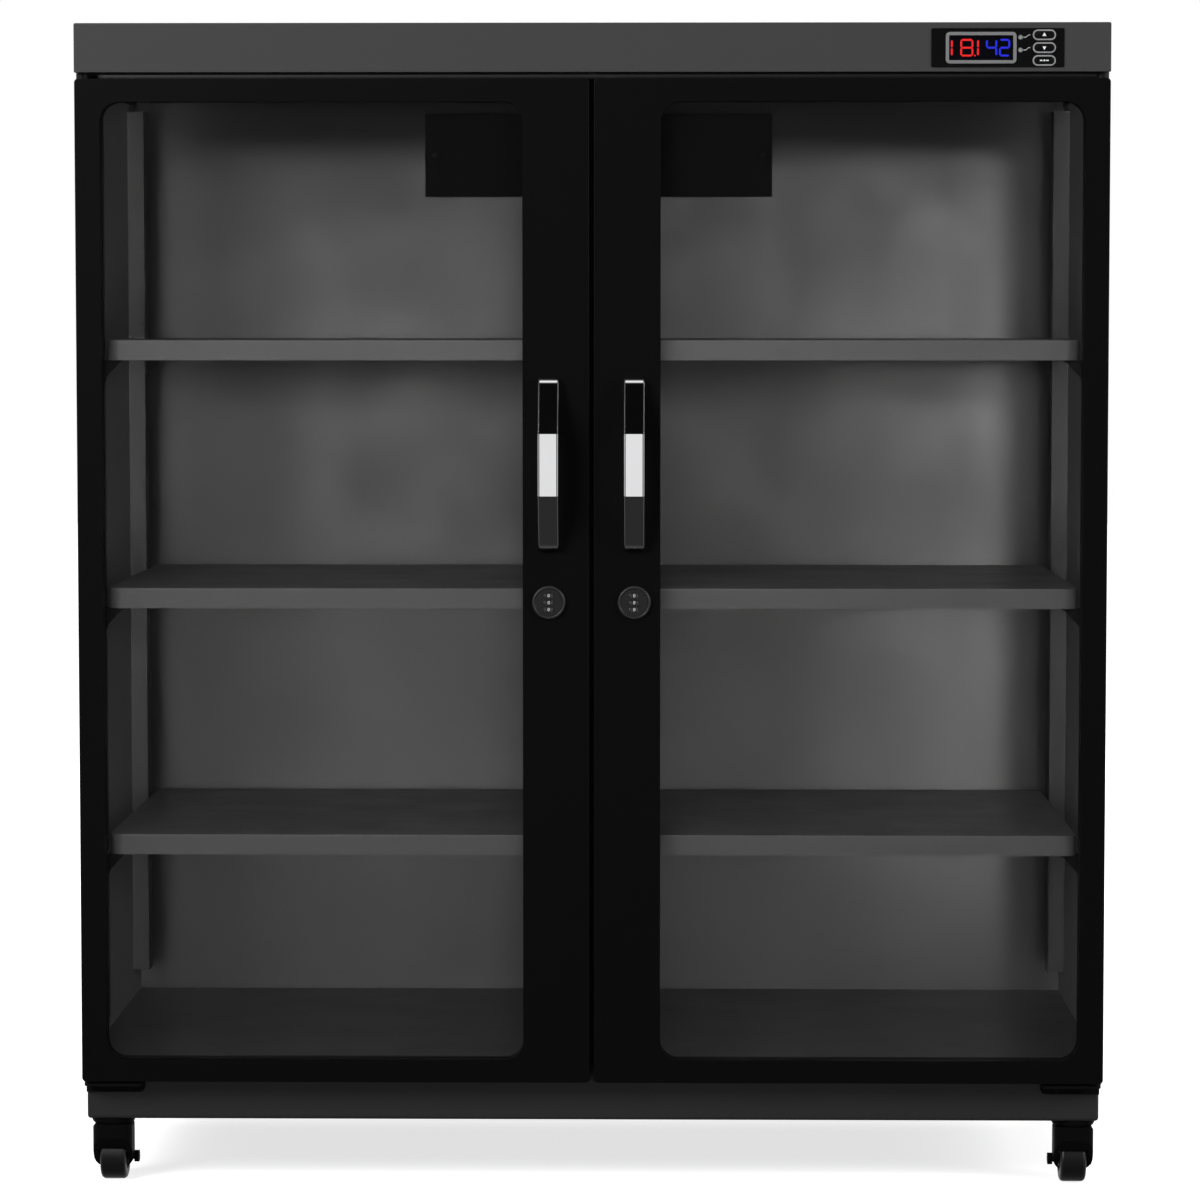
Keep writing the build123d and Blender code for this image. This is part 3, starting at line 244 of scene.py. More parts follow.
class Effects:
    """Shader groups that several finishes share."""

    def __init__(self) -> None:
        """Builds each group once."""
        self.grain = self._grain()
        self.marks = self._marks()
        self.dust = self._dust()

    @staticmethod
    def _group(name: str, inputs: dict[str, Any], outputs: Iterable[str]) -> tuple[Sheet, Any, Any]:
        """Starts a group with named sockets.

        Args:
            name: The group's name.
            inputs: Input names with their defaults; three numbers make a vector socket.
            outputs: Names of the values that the group puts out.

        Returns:
            The sheet to wire, the group's input node and its output node.
        """
        tree = bpy.data.node_groups.new(name, "ShaderNodeTree")
        for socket_name, value in inputs.items():
            kind = "NodeSocketVector" if isinstance(value, tuple) else "NodeSocketFloat"
            socket = tree.interface.new_socket(name=socket_name, in_out="INPUT", socket_type=kind)
            socket.default_value = value
        for socket_name in outputs:
            tree.interface.new_socket(name=socket_name, in_out="OUTPUT",
                                      socket_type="NodeSocketFloat")
        sheet = Sheet(tree)
        return sheet, sheet.add("NodeGroupInput"), sheet.add("NodeGroupOutput")

    def _grain(self) -> bpy.types.NodeTree:
        """Builds the grain group: broad patches and a fine relief.

        Returns:
            The group.
        """
        sheet, inner, outer = self._group(
            "surface_grain",
            {"Patch Scale": 14.0, "Grain Scale": 900.0, "Stretch": (1.0, 1.0, 1.0)},
            ("Patches", "Relief"),
        )
        place = sheet.add("TexCoord").outputs["Object"]
        run = sheet.paired("VectorMath", {"operation": "MULTIPLY"}, place, inner.outputs["Stretch"])
        patches = sheet.add("TexNoise", Vector=place, Scale=inner.outputs["Patch Scale"],
                            Detail=3.0)
        relief = sheet.add("TexNoise", Vector=run.outputs[0], Scale=inner.outputs["Grain Scale"],
                           Detail=2.0)
        sheet.feed(outer.inputs["Patches"], sheet.window(patches.outputs[0], 0.3, 0.7))
        sheet.feed(outer.inputs["Relief"], sheet.window(relief.outputs[0], 0.25, 0.75))
        return sheet.tree

    def _marks(self) -> bpy.types.NodeTree:
        """Builds the group of faint finger and wiping marks on polished surfaces.

        Returns:
            The group.
        """
        sheet, inner, outer = self._group("wiping_marks", {"Scale": 24.0, "Amount": 1.0}, ("Mask",))
        place = sheet.add("TexCoord").outputs["Object"]
        smears = sheet.add("TexNoise", Vector=place, Scale=inner.outputs["Scale"], Detail=5.0,
                           Distortion=1.4)
        cut = sheet.window(smears.outputs[0], 0.5, 0.75)
        sheet.feed(outer.inputs["Mask"], sheet.sum("MULTIPLY", cut, inner.outputs["Amount"]))
        return sheet.tree

    def _dust(self) -> bpy.types.NodeTree:
        """Builds the group of light dust on faces that look up; on the wheels it is a painted
        highlight on the top of the tread.

        Returns:
            The group.
        """
        sheet, inner, outer = self._group("settled_dust", {"Amount": 0.15}, ("Mask",))
        up = sheet.add("SeparateXYZ", Vector=sheet.add("NewGeometry").outputs["Normal"])
        level = sheet.window(up.outputs["Z"], 0.6, 1.0)
        place = sheet.add("TexCoord").outputs["Object"]
        specks = sheet.add("TexNoise", Vector=place, Scale=60.0, Detail=6.0)
        patchy = sheet.sum("MULTIPLY", level, sheet.window(specks.outputs[0], 0.35, 0.8))
        sheet.feed(outer.inputs["Mask"], sheet.sum("MULTIPLY", patchy, inner.outputs["Amount"]))
        return sheet.tree


# ---- Finishes --------------------------------------------------------------------------------
def grey(level: float) -> Colour:
    """Makes an even grey.

    Args:
        level: Its level in each channel.

    Returns:
        The colour.
    """
    return (level, level, level)


@dataclass(frozen=True)
class Finish:
    """One surface finish, named after the record's slot or after what it prints."""

    slot: str
    colour: Colour
    pattern: Pattern
    roughness: tuple[float, float] = (0.42, 0.55)
    tone: float = 0.85          # second tone, as a share of the first
    relief: float = 0.02        # height of the fine relief, in millimetres
    metallic: float = 0.0
    specular: float = 0.5
    coat: float = 0.0
    # share of dust on faces that look up; on the wheels it is a painted highlight on the tread's
    # top
    dust: float = 0.0
    marks: float = 0.0
    alpha: float = 1.0
    glow: float = 0.0
    outer: Colour | None = None  # colour of the faces that look to the rear

    def build(self, effects: Effects) -> bpy.types.Material:
        """Wires the material.

        Args:
            effects: The shared shader groups.

        Returns:
            The material.
        """
        material = bpy.data.materials.new(self.slot)
        sheet = Sheet.of(material)
        patch_scale, grain_scale, stretch = self.pattern.value
        grain = sheet.add("Group", {"node_tree": effects.grain}, Patch_Scale=patch_scale,
                          Grain_Scale=grain_scale, Stretch=stretch)
        shader = sheet.add("BsdfPrincipled", Metallic=self.metallic, Alpha=self.alpha,
                           Specular_IOR_Level=self.specular, Coat_Weight=self.coat,
                           Coat_Roughness=COAT_ROUGHNESS)
        base = self.patchy(sheet, grain, self.tone)
        rough = sheet.spread(grain.outputs["Patches"], *self.roughness)
        # Dust lightens the faces that look up; on the wheels this lighter top is a painted
        # highlight, not dust.
        if self.dust:
            dust = sheet.add("Group", {"node_tree": effects.dust}, Amount=self.dust).outputs["Mask"]
            base = sheet.blend(dust, base, (*DUST_AND_SHEEN_COLOUR, 1.0))
            rough = sheet.sum("ADD", rough, sheet.spread(dust, 0.0, DUST_ROUGHNESS))
        if self.outer:
            facing = sheet.add("SeparateXYZ", Vector=sheet.add("NewGeometry").outputs["Normal"])
            rear = sheet.window(facing.outputs["Y"], 0.6, 0.9)
            base = sheet.blend(rear, base, (*self.outer, 1.0))
        if self.marks:
            marks = sheet.add("Group", {"node_tree": effects.marks}, Amount=self.marks)
            smear = sheet.spread(marks.outputs["Mask"], 0.0, MARK_ROUGHNESS)
            rough = sheet.sum("ADD", rough, smear)
        sheet.feed(shader.inputs["Base Color"], base)
        sheet.feed(shader.inputs["Roughness"], rough)
        bump = sheet.add("Bump", Strength=RELIEF_STRENGTH, Distance=self.relief * MM,
                         Height=grain.outputs["Relief"])
        sheet.feed(shader.inputs["Normal"], bump.outputs["Normal"])
        if self.glow:
            sheet.feed(shader.inputs["Emission Color"], self.patchy(sheet, grain, GLOW_TONE))
            shader.inputs["Emission Strength"].default_value = self.glow
        out = sheet.add("OutputMaterial")
        sheet.feed(out.inputs["Surface"], shader.outputs["BSDF"])
        return material

    def patchy(self, sheet: Sheet, grain: bpy.types.Node, tone: float) -> bpy.types.NodeSocket:
        """Wires the colour with a second tone in broad patches.

        Args:
            sheet: The material's sheet.
            grain: The grain group's node.
            tone: The second tone, as a share of the first.

        Returns:
            The colour's socket.
        """
        second = (part * tone for part in self.colour)
        return sheet.blend(grain.outputs["Patches"], (*self.colour, 1.0), (*second, 1.0))


FINISHES = {finish.slot: finish for finish in (
    # The record's material slots.
    Finish("body_paint", grey(0.018), Pattern.POWDER, (0.46, 0.52), tone=0.95, dust=0.03,
           specular=0.3),
    Finish("cover_paint", (0.046, 0.046, 0.0463), Pattern.POWDER, (0.46, 0.52), tone=0.96,
           dust=0.03, specular=0.3),
    Finish("door_paint", (0.003, 0.003, 0.0031), Pattern.POWDER, (0.42, 0.46), specular=0.1,
           relief=0.012),
    Finish("interior_paint", (0.087, 0.0862, 0.0862), Pattern.POWDER, (0.3, 0.36), tone=0.93,
           relief=0.012),
    Finish("shelf_paint", (0.108, 0.1068, 0.1068), Pattern.POWDER, (0.36, 0.46), tone=0.93,
           relief=0.012),
    Finish("bracket_paint", grey(0.004), Pattern.POWDER, (0.5, 0.62), specular=0.12),
    Finish("clear_glass", grey(0.021), Pattern.POLISHED, (0.02, 0.03), relief=0.0005, alpha=0.12,
           marks=0.15),
    Finish("seal_rubber", grey(0.006), Pattern.RUBBER, (0.6, 0.75)),
    Finish("bush_nylon", grey(0.01), Pattern.MOULDED, (0.45, 0.55), specular=0.2),
    Finish("chrome", (0.8, 0.8, 0.81), Pattern.POLISHED, (0.045, 0.06), metallic=1.0, relief=0.001,
           tone=0.97, marks=0.12),
    Finish("lock_metal", (0.045, 0.045, 0.0455), Pattern.TURNED, (0.3, 0.4), metallic=0.6,
           relief=0.006),
    Finish("dial_plastic", (0.03, 0.03, 0.032), Pattern.MOULDED, (0.35, 0.45)),
    Finish("panel_plastic", (0.004, 0.004, 0.0042), Pattern.MOULDED, (0.2, 0.28), relief=0.004,
           marks=0.2),
    Finish("display_window", (0.003, 0.003, 0.005), Pattern.POLISHED, (0.06, 0.09), relief=0.0005,
           marks=0.2),
    Finish("lamp_lens", (0.32, 0.34, 0.3), Pattern.POLISHED, (0.12, 0.16), relief=0.002),
    Finish("button_plastic", (0.3, 0.3, 0.31), Pattern.MOULDED, (0.4, 0.5), relief=0.004),
    Finish("circuit_board", (0.02, 0.12, 0.05), Pattern.MOULDED, (0.3, 0.4)),
    Finish("dryer_plastic", (0.011, 0.011, 0.0115), Pattern.MOULDED, (0.5, 0.6)),
    Finish("desiccant_body", (0.55, 0.5, 0.42), Pattern.RUBBER, (0.7, 0.85)),
    Finish("bright_steel", (0.52, 0.52, 0.53), Pattern.BRUSHED, (0.25, 0.35), metallic=1.0,
           relief=0.004),
    Finish("castor_plastic", grey(0.004), Pattern.MOULDED, (0.5, 0.6), dust=0.02, specular=0.02,
           relief=0.006),
    # Its high dust share paints a lighter band on the tread's top: a painted highlight.
    Finish("wheel_rubber", grey(0.0065), Pattern.RUBBER, (0.4, 0.52), dust=0.12, specular=0.35),
    # Prints, lit digits and second finishes within a slot.
    Finish("print_grey", (0.42, 0.42, 0.43), Pattern.MOULDED, (0.4, 0.5), relief=0.002),
    Finish("print_white", grey(0.78), Pattern.MOULDED, (0.4, 0.5), relief=0.002),
    Finish("digit_red", (0.56, 0.008, 0.008), Pattern.MOULDED, (0.3, 0.4), relief=0.001, glow=0.6),
    Finish("digit_blue", (0.009, 0.016, 0.5), Pattern.MOULDED, (0.3, 0.4), relief=0.001, glow=0.5),
    Finish("button_face", (0.004, 0.004, 0.0042), Pattern.MOULDED, (0.25, 0.32), relief=0.003),
    Finish("back_paint", (0.087, 0.0862, 0.0862), Pattern.POWDER, (0.3, 0.36), tone=0.93,
           relief=0.012, outer=grey(0.018)),
    Finish("upright_paint", (0.042, 0.0416, 0.0416), Pattern.POWDER, (0.34, 0.4), tone=0.93,
           relief=0.012),
    Finish("lock_edge", (0.05, 0.05, 0.051), Pattern.TURNED, (0.3, 0.4), metallic=0.5,
           relief=0.004),
    Finish("bezel_grey", (0.2, 0.2, 0.205), Pattern.MOULDED, (0.3, 0.4), relief=0.003),
    Finish("dark_screw", (0.02, 0.02, 0.021), Pattern.TURNED, (0.35, 0.45), metallic=0.7,
           relief=0.004),
    Finish("tread_groove", grey(0.016), Pattern.RUBBER, (0.55, 0.65)),
)}


# ---- Modelling helpers -----------------------------------------------------------------------
@dataclass(frozen=True)
class Extent:
    """A node's box at rest."""

    low: Vector
    high: Vector

    @staticmethod
    def of(node: str) -> "Extent":
        """Reads a CAD node's box.

        Args:
            node: The node's name.

        Returns:
            Its extent.
        """
        return Extent(*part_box(node))

    @property
    def centre(self) -> Vector:
        """Middle of the box."""
        return (self.low + self.high) / 2

    @property
    def size(self) -> Vector:
        """Width, depth and height."""
        return self.high - self.low


def clear_selection() -> None:
    """Leaves nothing selected."""
    bpy.ops.object.select_all(action="DESELECT")
    bpy.context.view_layer.objects.active = None


def activate(piece: bpy.types.Object) -> None:
    """Selects one piece alone.

    Args:
        piece: The piece to work on.
    """
    clear_selection()
    piece.select_set(True)
    bpy.context.view_layer.objects.active = piece


def blank(name: str) -> bpy.types.Object:
    """Names the primitive just added, and moves its place, turn and scale into its mesh.

    Args:
        name: The piece's name.

    Returns:
        The blank.
    """
    piece = bpy.context.object
    piece.name = piece.data.name = name
    activate(piece)
    bpy.ops.object.transform_apply(location=True, rotation=True, scale=True)
    return piece


class Bench:
    """Edit mode on one piece, with faces and edges picked by place and direction."""

    def __init__(self, piece: bpy.types.Object) -> None:
        """Keeps the piece.

        Args:
            piece: The piece to edit.
        """
        self.piece = piece

    def __enter__(self) -> "Bench":
        """Enters edit mode.

        Returns:
            The bench.
        """
        activate(self.piece)
        bpy.ops.object.mode_set(mode="EDIT")
        bpy.ops.mesh.select_mode(type="FACE")
        bpy.ops.mesh.select_all(action="DESELECT")
        return self

    def __exit__(self, *_: Any) -> None:
        """Leaves edit mode."""
        bpy.ops.object.mode_set(mode="OBJECT")

    def faces(self, test: Callable[[Vector, Vector], bool]) -> None:
        """Selects faces.

        Args:
            test: Says whether a face is wanted, from its middle and its normal.
        """
        bpy.ops.mesh.select_mode(type="FACE")
        bpy.ops.mesh.select_all(action="DESELECT")
        mesh = bmesh.from_edit_mesh(self.piece.data)
        for face in mesh.faces:
            face.select_set(test(face.calc_center_median(), face.normal))
        bmesh.update_edit_mesh(self.piece.data)

    def edges(self, test: Callable[[Vector, Vector], bool]) -> None:
        """Selects edges.

        Args:
            test: Says whether an edge is wanted, from its middle and its direction.
        """
        bpy.ops.mesh.select_mode(type="EDGE")
        bpy.ops.mesh.select_all(action="DESELECT")
        mesh = bmesh.from_edit_mesh(self.piece.data)
        for edge in mesh.edges:
            start, end = (vertex.co for vertex in edge.verts)
            edge.select_set(test((start + end) / 2, (end - start).normalized()))
        bmesh.update_edit_mesh(self.piece.data)


def box_blank(name: str, centre: Sequence[float], size: Sequence[float]) -> bpy.types.Object:
    """Adds a box to start a piece from.

    Args:
        name: The piece's name.
        centre: Middle of the box.
        size: Width, depth and height.

    Returns:
        The blank, its place in its mesh.
    """
    clear_selection()
    bpy.ops.mesh.primitive_cube_add(size=1.0, location=centre, scale=size)
    return blank(name)


def round_blank(name: str, radius: float, height: float, sides: int = 32) -> bpy.types.Object:
    """Adds a cylinder that stands on the origin, to start a fitting from.

    Args:
        name: The piece's name.
        radius: Its radius.
        height: Its height along +Z.
        sides: Number of facets round it.

    Returns:
        The blank.
    """
    clear_selection()
    bpy.ops.mesh.primitive_cylinder_add(vertices=sides, radius=radius, depth=height,
                                        location=(0.0, 0.0, height / 2))
    return blank(name)


def ring_blank(name: str, centre: Sequence[float], turn: Place, radii: tuple[float, float],
               segments: tuple[int, int]) -> bpy.types.Object:
    """Adds a ring of round section.

    Args:
        name: The piece's name.
        centre: Middle of the ring.
        turn: Turns about the axes that take its axis from +Z to where it belongs.
        radii: Radius of the ring and of its section.
        segments: Number of facets round the ring and round its section.

    Returns:
        The ring.
    """
    clear_selection()
    bpy.ops.mesh.primitive_torus_add(
        major_radius=radii[0], minor_radius=radii[1], major_segments=segments[0],
        minor_segments=segments[1], location=centre, rotation=turn)
    return blank(name)


def rounded_plate(name: str, centre: Sequence[float], size: Sequence[float], corner: float,
                  rim: float) -> bpy.types.Object:
    """Models a plate that faces -Y, with round corners and a softened front rim.

    Args:
        name: The piece's name.
        centre: Middle of the plate.
        size: Width, thickness and height.
        corner: Radius of its corners.
        rim: Radius of its front edge.

    Returns:
        The plate.
    """
    piece = box_blank(name, centre, size)
    front = centre[1] - size[1] / 2
    with Bench(piece) as bench:
        bench.edges(lambda middle, run: abs(run.y) > ALONG)
        bpy.ops.mesh.bevel(offset=corner, segments=8)
        bench.edges(lambda middle, run: abs(run.y) < ACROSS and middle.y < front + rim / 4)
        bpy.ops.mesh.bevel(offset=rim, segments=2)
    return piece


def open_middle(piece: bpy.types.Object, band: float) -> None:
    """Cuts the middle out of a plate that faces -Y, leaving a band of even width.

    Args:
        piece: The plate.
        band: Width of the band.
    """
    with Bench(piece) as bench:
        bench.faces(lambda middle, normal: abs(normal.y) > 0.99)
        bpy.ops.mesh.inset(thickness=band)
        bpy.ops.mesh.bridge_edge_loops()


def joined(name: str, pieces: Sequence[bpy.types.Object]) -> bpy.types.Object:
    """Joins several pieces into one.

    Args:
        name: The joined piece's name.
        pieces: What is joined.

    Returns:
        The joined piece.
    """
    clear_selection()
    for piece in pieces:
        piece.select_set(True)
    bpy.context.view_layer.objects.active = pieces[0]
    bpy.ops.object.join()
    piece = bpy.context.object
    piece.name = piece.data.name = name
    return piece


def copied(template: bpy.types.Object, name: str, place: Matrix) -> bpy.types.Object:
    """Copies a template, with a mesh of its own, to a place.

    Args:
        template: The piece to copy.
        name: The copy's name.
        place: The move and turn that its mesh takes.

    Returns:
        The copy.
    """
    piece = template.copy()
    piece.data = template.data.copy()
    piece.name = piece.data.name = name
    piece.data.transform(place)
    bpy.context.scene.collection.objects.link(piece)
    return piece


def discard(*templates: bpy.types.Object) -> None:
    """Removes templates that have been copied.

    Args:
        templates: The pieces to remove.
    """
    for template in templates:
        bpy.data.objects.remove(template)


# ---- Dressing --------------------------------------------------------------------------------
class Wardrobe:
    """Holds the materials and puts them on nodes and new pieces."""

    def __init__(self, nodes: dict[str, bpy.types.Object]) -> None:
        """Builds every material.

        Args:
            nodes: CAD node name to object.
        """
        effects = Effects()
        self.nodes = nodes
        self.materials = {name: finish.build(effects) for name, finish in FINISHES.items()}

    def dress(self, slot: str, *names: str) -> None:
        """Puts a finish on CAD nodes.

        Args:
            slot: The record's material slot.
            names: The nodes that take it.
        """
        for name in names:
            node = self.nodes[name]
            if not node.material_slots:
                node.data.materials.append(self.materials[slot])
            for holder in node.material_slots:
                holder.material = self.materials[slot]
            LOG.info("node %s takes %s", name, slot)

    def add(self, piece: bpy.types.Object, body: str, slot: str, finish: str | None = None) -> None:
        """Finishes a new piece and lets it ride on a body.

        Args:
            piece: The piece, its place in its mesh.
            body: The CAD body that it moves with.
            slot: The record's material slot, whose finish it takes where no print finish is given.
            finish: A print finish, where it isn't the slot's own.
        """
        activate(piece)
        bpy.ops.object.shade_smooth_by_angle(angle=SMOOTH_ANGLE)
        piece.data.materials.clear()
        piece.data.materials.append(self.materials[finish or slot])
        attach(piece, body)
        LOG.info("piece %s rides on %s, %d faces", piece.name, body, len(piece.data.polygons))


@dataclass(frozen=True)
class Screw:
    """A pan-head screw with a cross recess."""

    head_radius: float
    head_height: float
    recess: float
    crown: float = 0.55             # rounded part of the head's height
    land: float = 0.12              # shares of its radius: the flat's rim and the recess's arms
    slot_length: float = 1.1
    slot_width: float = 0.3

    def template(self, name: str = "screw_template") -> bpy.types.Object:
        """Models the head, standing on the origin and pointing along +Z.

        Args:
            name: The template's name.

        Returns:
            The template.
        """
        piece = round_blank(name, self.head_radius, self.head_height, 24)
        top = self.head_height
        with Bench(piece) as bench:
            bench.edges(lambda middle, run: middle.z > top * ALONG and abs(run.z) < ACROSS)
            bpy.ops.mesh.bevel(offset=top * self.crown, segments=3)
            bench.faces(lambda middle, normal: normal.z > 0.99 and middle.z > top * ALONG)
            bpy.ops.mesh.inset(thickness=self.head_radius * self.land)
        for turn in (0.0, math.pi / 2):
            cutter = box_blank("recess_cutter", (0.0, 0.0, top),
                               (self.head_radius * self.slot_length,
                                self.head_radius * self.slot_width, 2 * self.recess))
            cutter.data.transform(Matrix.Rotation(turn, 4, "Z"))
            cut = piece.modifiers.new("recess", "BOOLEAN")
            cut.operation = "DIFFERENCE"
            cut.object = cutter
            activate(piece)
            bpy.ops.object.modifier_apply(modifier=cut.name)
            discard(cutter)
        return piece

    def drive(self, wardrobe: Wardrobe, name: str, body: str, slot: str, facing: Facing,
              places: Iterable[Sequence[float]], finish: str | None = None) -> None:
        """Sets a group of screws as one piece.

        Args:
            wardrobe: Dresses the piece.
            name: The piece's name.
            body: The body that the screws hold to.
            slot: Their material slot.
            facing: The direction that the heads point in.
            places: Where the heads seat.
            finish: A print finish, where it isn't the slot's own.
        """
        template = self.template()
        heads = [copied(template, f"{name}_{index}", Matrix.Translation(place) @ facing.value)
                 for index, place in enumerate(places)]
        discard(template)
        wardrobe.add(joined(name, heads), body, slot, finish)


# ---- Sub-assemblies --------------------------------------------------------------------------
@dataclass
class Assembly:
    """A sub-assembly: its nodes take their finishes, then it adds its own pieces."""

    wardrobe: Wardrobe
    body: ClassVar[str] = "cabinet"
    coats: ClassVar[dict[str, tuple[str, ...]]] = {}

    def build(self) -> None:
        """Dresses the nodes and adds the pieces."""
        self.dress()
        self.fit()

    def dress(self, ending: str = "") -> None:
        """Puts each finish on its nodes.

        Args:
            ending: What every node's name ends in.
        """
        for slot, names in self.coats.items():
            self.wardrobe.dress(slot, *(name + ending for name in names))

    def fit(self) -> None:
        """Adds the sub-assembly's own pieces, if it has any."""


@dataclass
class Carcass(Assembly):
    """Plinth, walls, roof, floor, landing frame and cover, with the screws that hold them."""

    screw: Screw = Screw(3.2 * MM, 0.5 * MM, 0.3 * MM)
    screw_inset: float = 9.0 * MM
    screw_sink: float = 0.2 * MM
    screw_rows: tuple[float, ...] = (0.04, 0.35, 0.65, 0.95)   # shares of the wall's height
    coats = {
        "body_paint": ("base_plinth", "side_panel_right", "side_panel_left", "front_frame"),
        "cover_paint": ("top_cover",),
        "back_paint": ("back_panel",),
        "interior_paint": ("roof_panel", "floor_pan"),
    }

    def fit(self) -> None:
        """Sets the screws along the rear flanges and the cover's rear wall."""
        panel, cover = Extent.of("side_panel_right"), Extent.of("top_cover")
        rear = panel.high.y - self.screw_sink
        x = panel.high.x - self.screw_inset
        rows = [panel.low.z + panel.size.z * share for share in self.screw_rows]
        places = [(side.value * x, rear, z) for side in Side for z in rows]
        self.screw.drive(self.wardrobe, "rear_panel_screws", self.body, "body_paint", Facing.REAR,
                         places, "dark_screw")
        x, z = cover.high.x - 2 * self.screw_inset, cover.low.z + cover.size.z / 3
        places = [(across, rear, z) for across in (-x, x, 0.0)]
        self.screw.drive(self.wardrobe, "cover_screws", self.body, "cover_paint", Facing.REAR,
                         places, "dark_screw")


@dataclass
class Shelving(Assembly):
    """Uprights, clips and shelves inside the chamber."""

    coats = {
        "upright_paint": ("shelf_uprights",),
        "bracket_paint": ("shelf_clips",),
        "shelf_paint": ("shelf_lower", "shelf_middle", "shelf_upper"),
    }


@dataclass
class Dryer(Assembly):
    """The dryer unit on both sides of the back panel, the sensor and the inlet."""

    cover_screw: Screw = Screw(2.4 * MM, 1.0 * MM, 0.5 * MM)
    case_screw: Screw = Screw(2.8 * MM, 1.2 * MM, 0.6 * MM)
    cover_screw_inset: float = 9.0 * MM
    case_screw_inset: float = 7.0 * MM
    coats = {
        "dryer_plastic": ("dryer_cover", "dryer_case", "inner_shutter", "outer_shutter",
                          "humidity_sensor"),
        "desiccant_body": ("desiccant_pack",),
        "bright_steel": ("shutter_actuator",),
        "panel_plastic": ("power_inlet",),
    }

    def fit(self) -> None:
        """Sets the cover's and the case's screws."""
        self.cover_screws()
        self.case_screws()

    def cover_screws(self) -> None:
        """Sets the two screws at the ends of the chamber-side cover."""
        cover = Extent.of("dryer_cover")
        x = cover.high.x - self.cover_screw_inset
        places = [(side.value * x, cover.low.y, cover.centre.z) for side in Side]
        self.cover_screw.drive(self.wardrobe, "dryer_cover_screws", self.body, "bright_steel",
                               Facing.FRONT, places)

    def case_screws(self) -> None:
        """Sets the screws along the outer case's top."""
        case = Extent.of("dryer_case")
        x = case.high.x - self.case_screw_inset
        places = [(across, case.centre.y, case.high.z) for across in (-x, 0.0, x)]
        self.case_screw.drive(self.wardrobe, "dryer_case_screws", self.body, "dryer_plastic",
                              Facing.UP, places, "dark_screw")


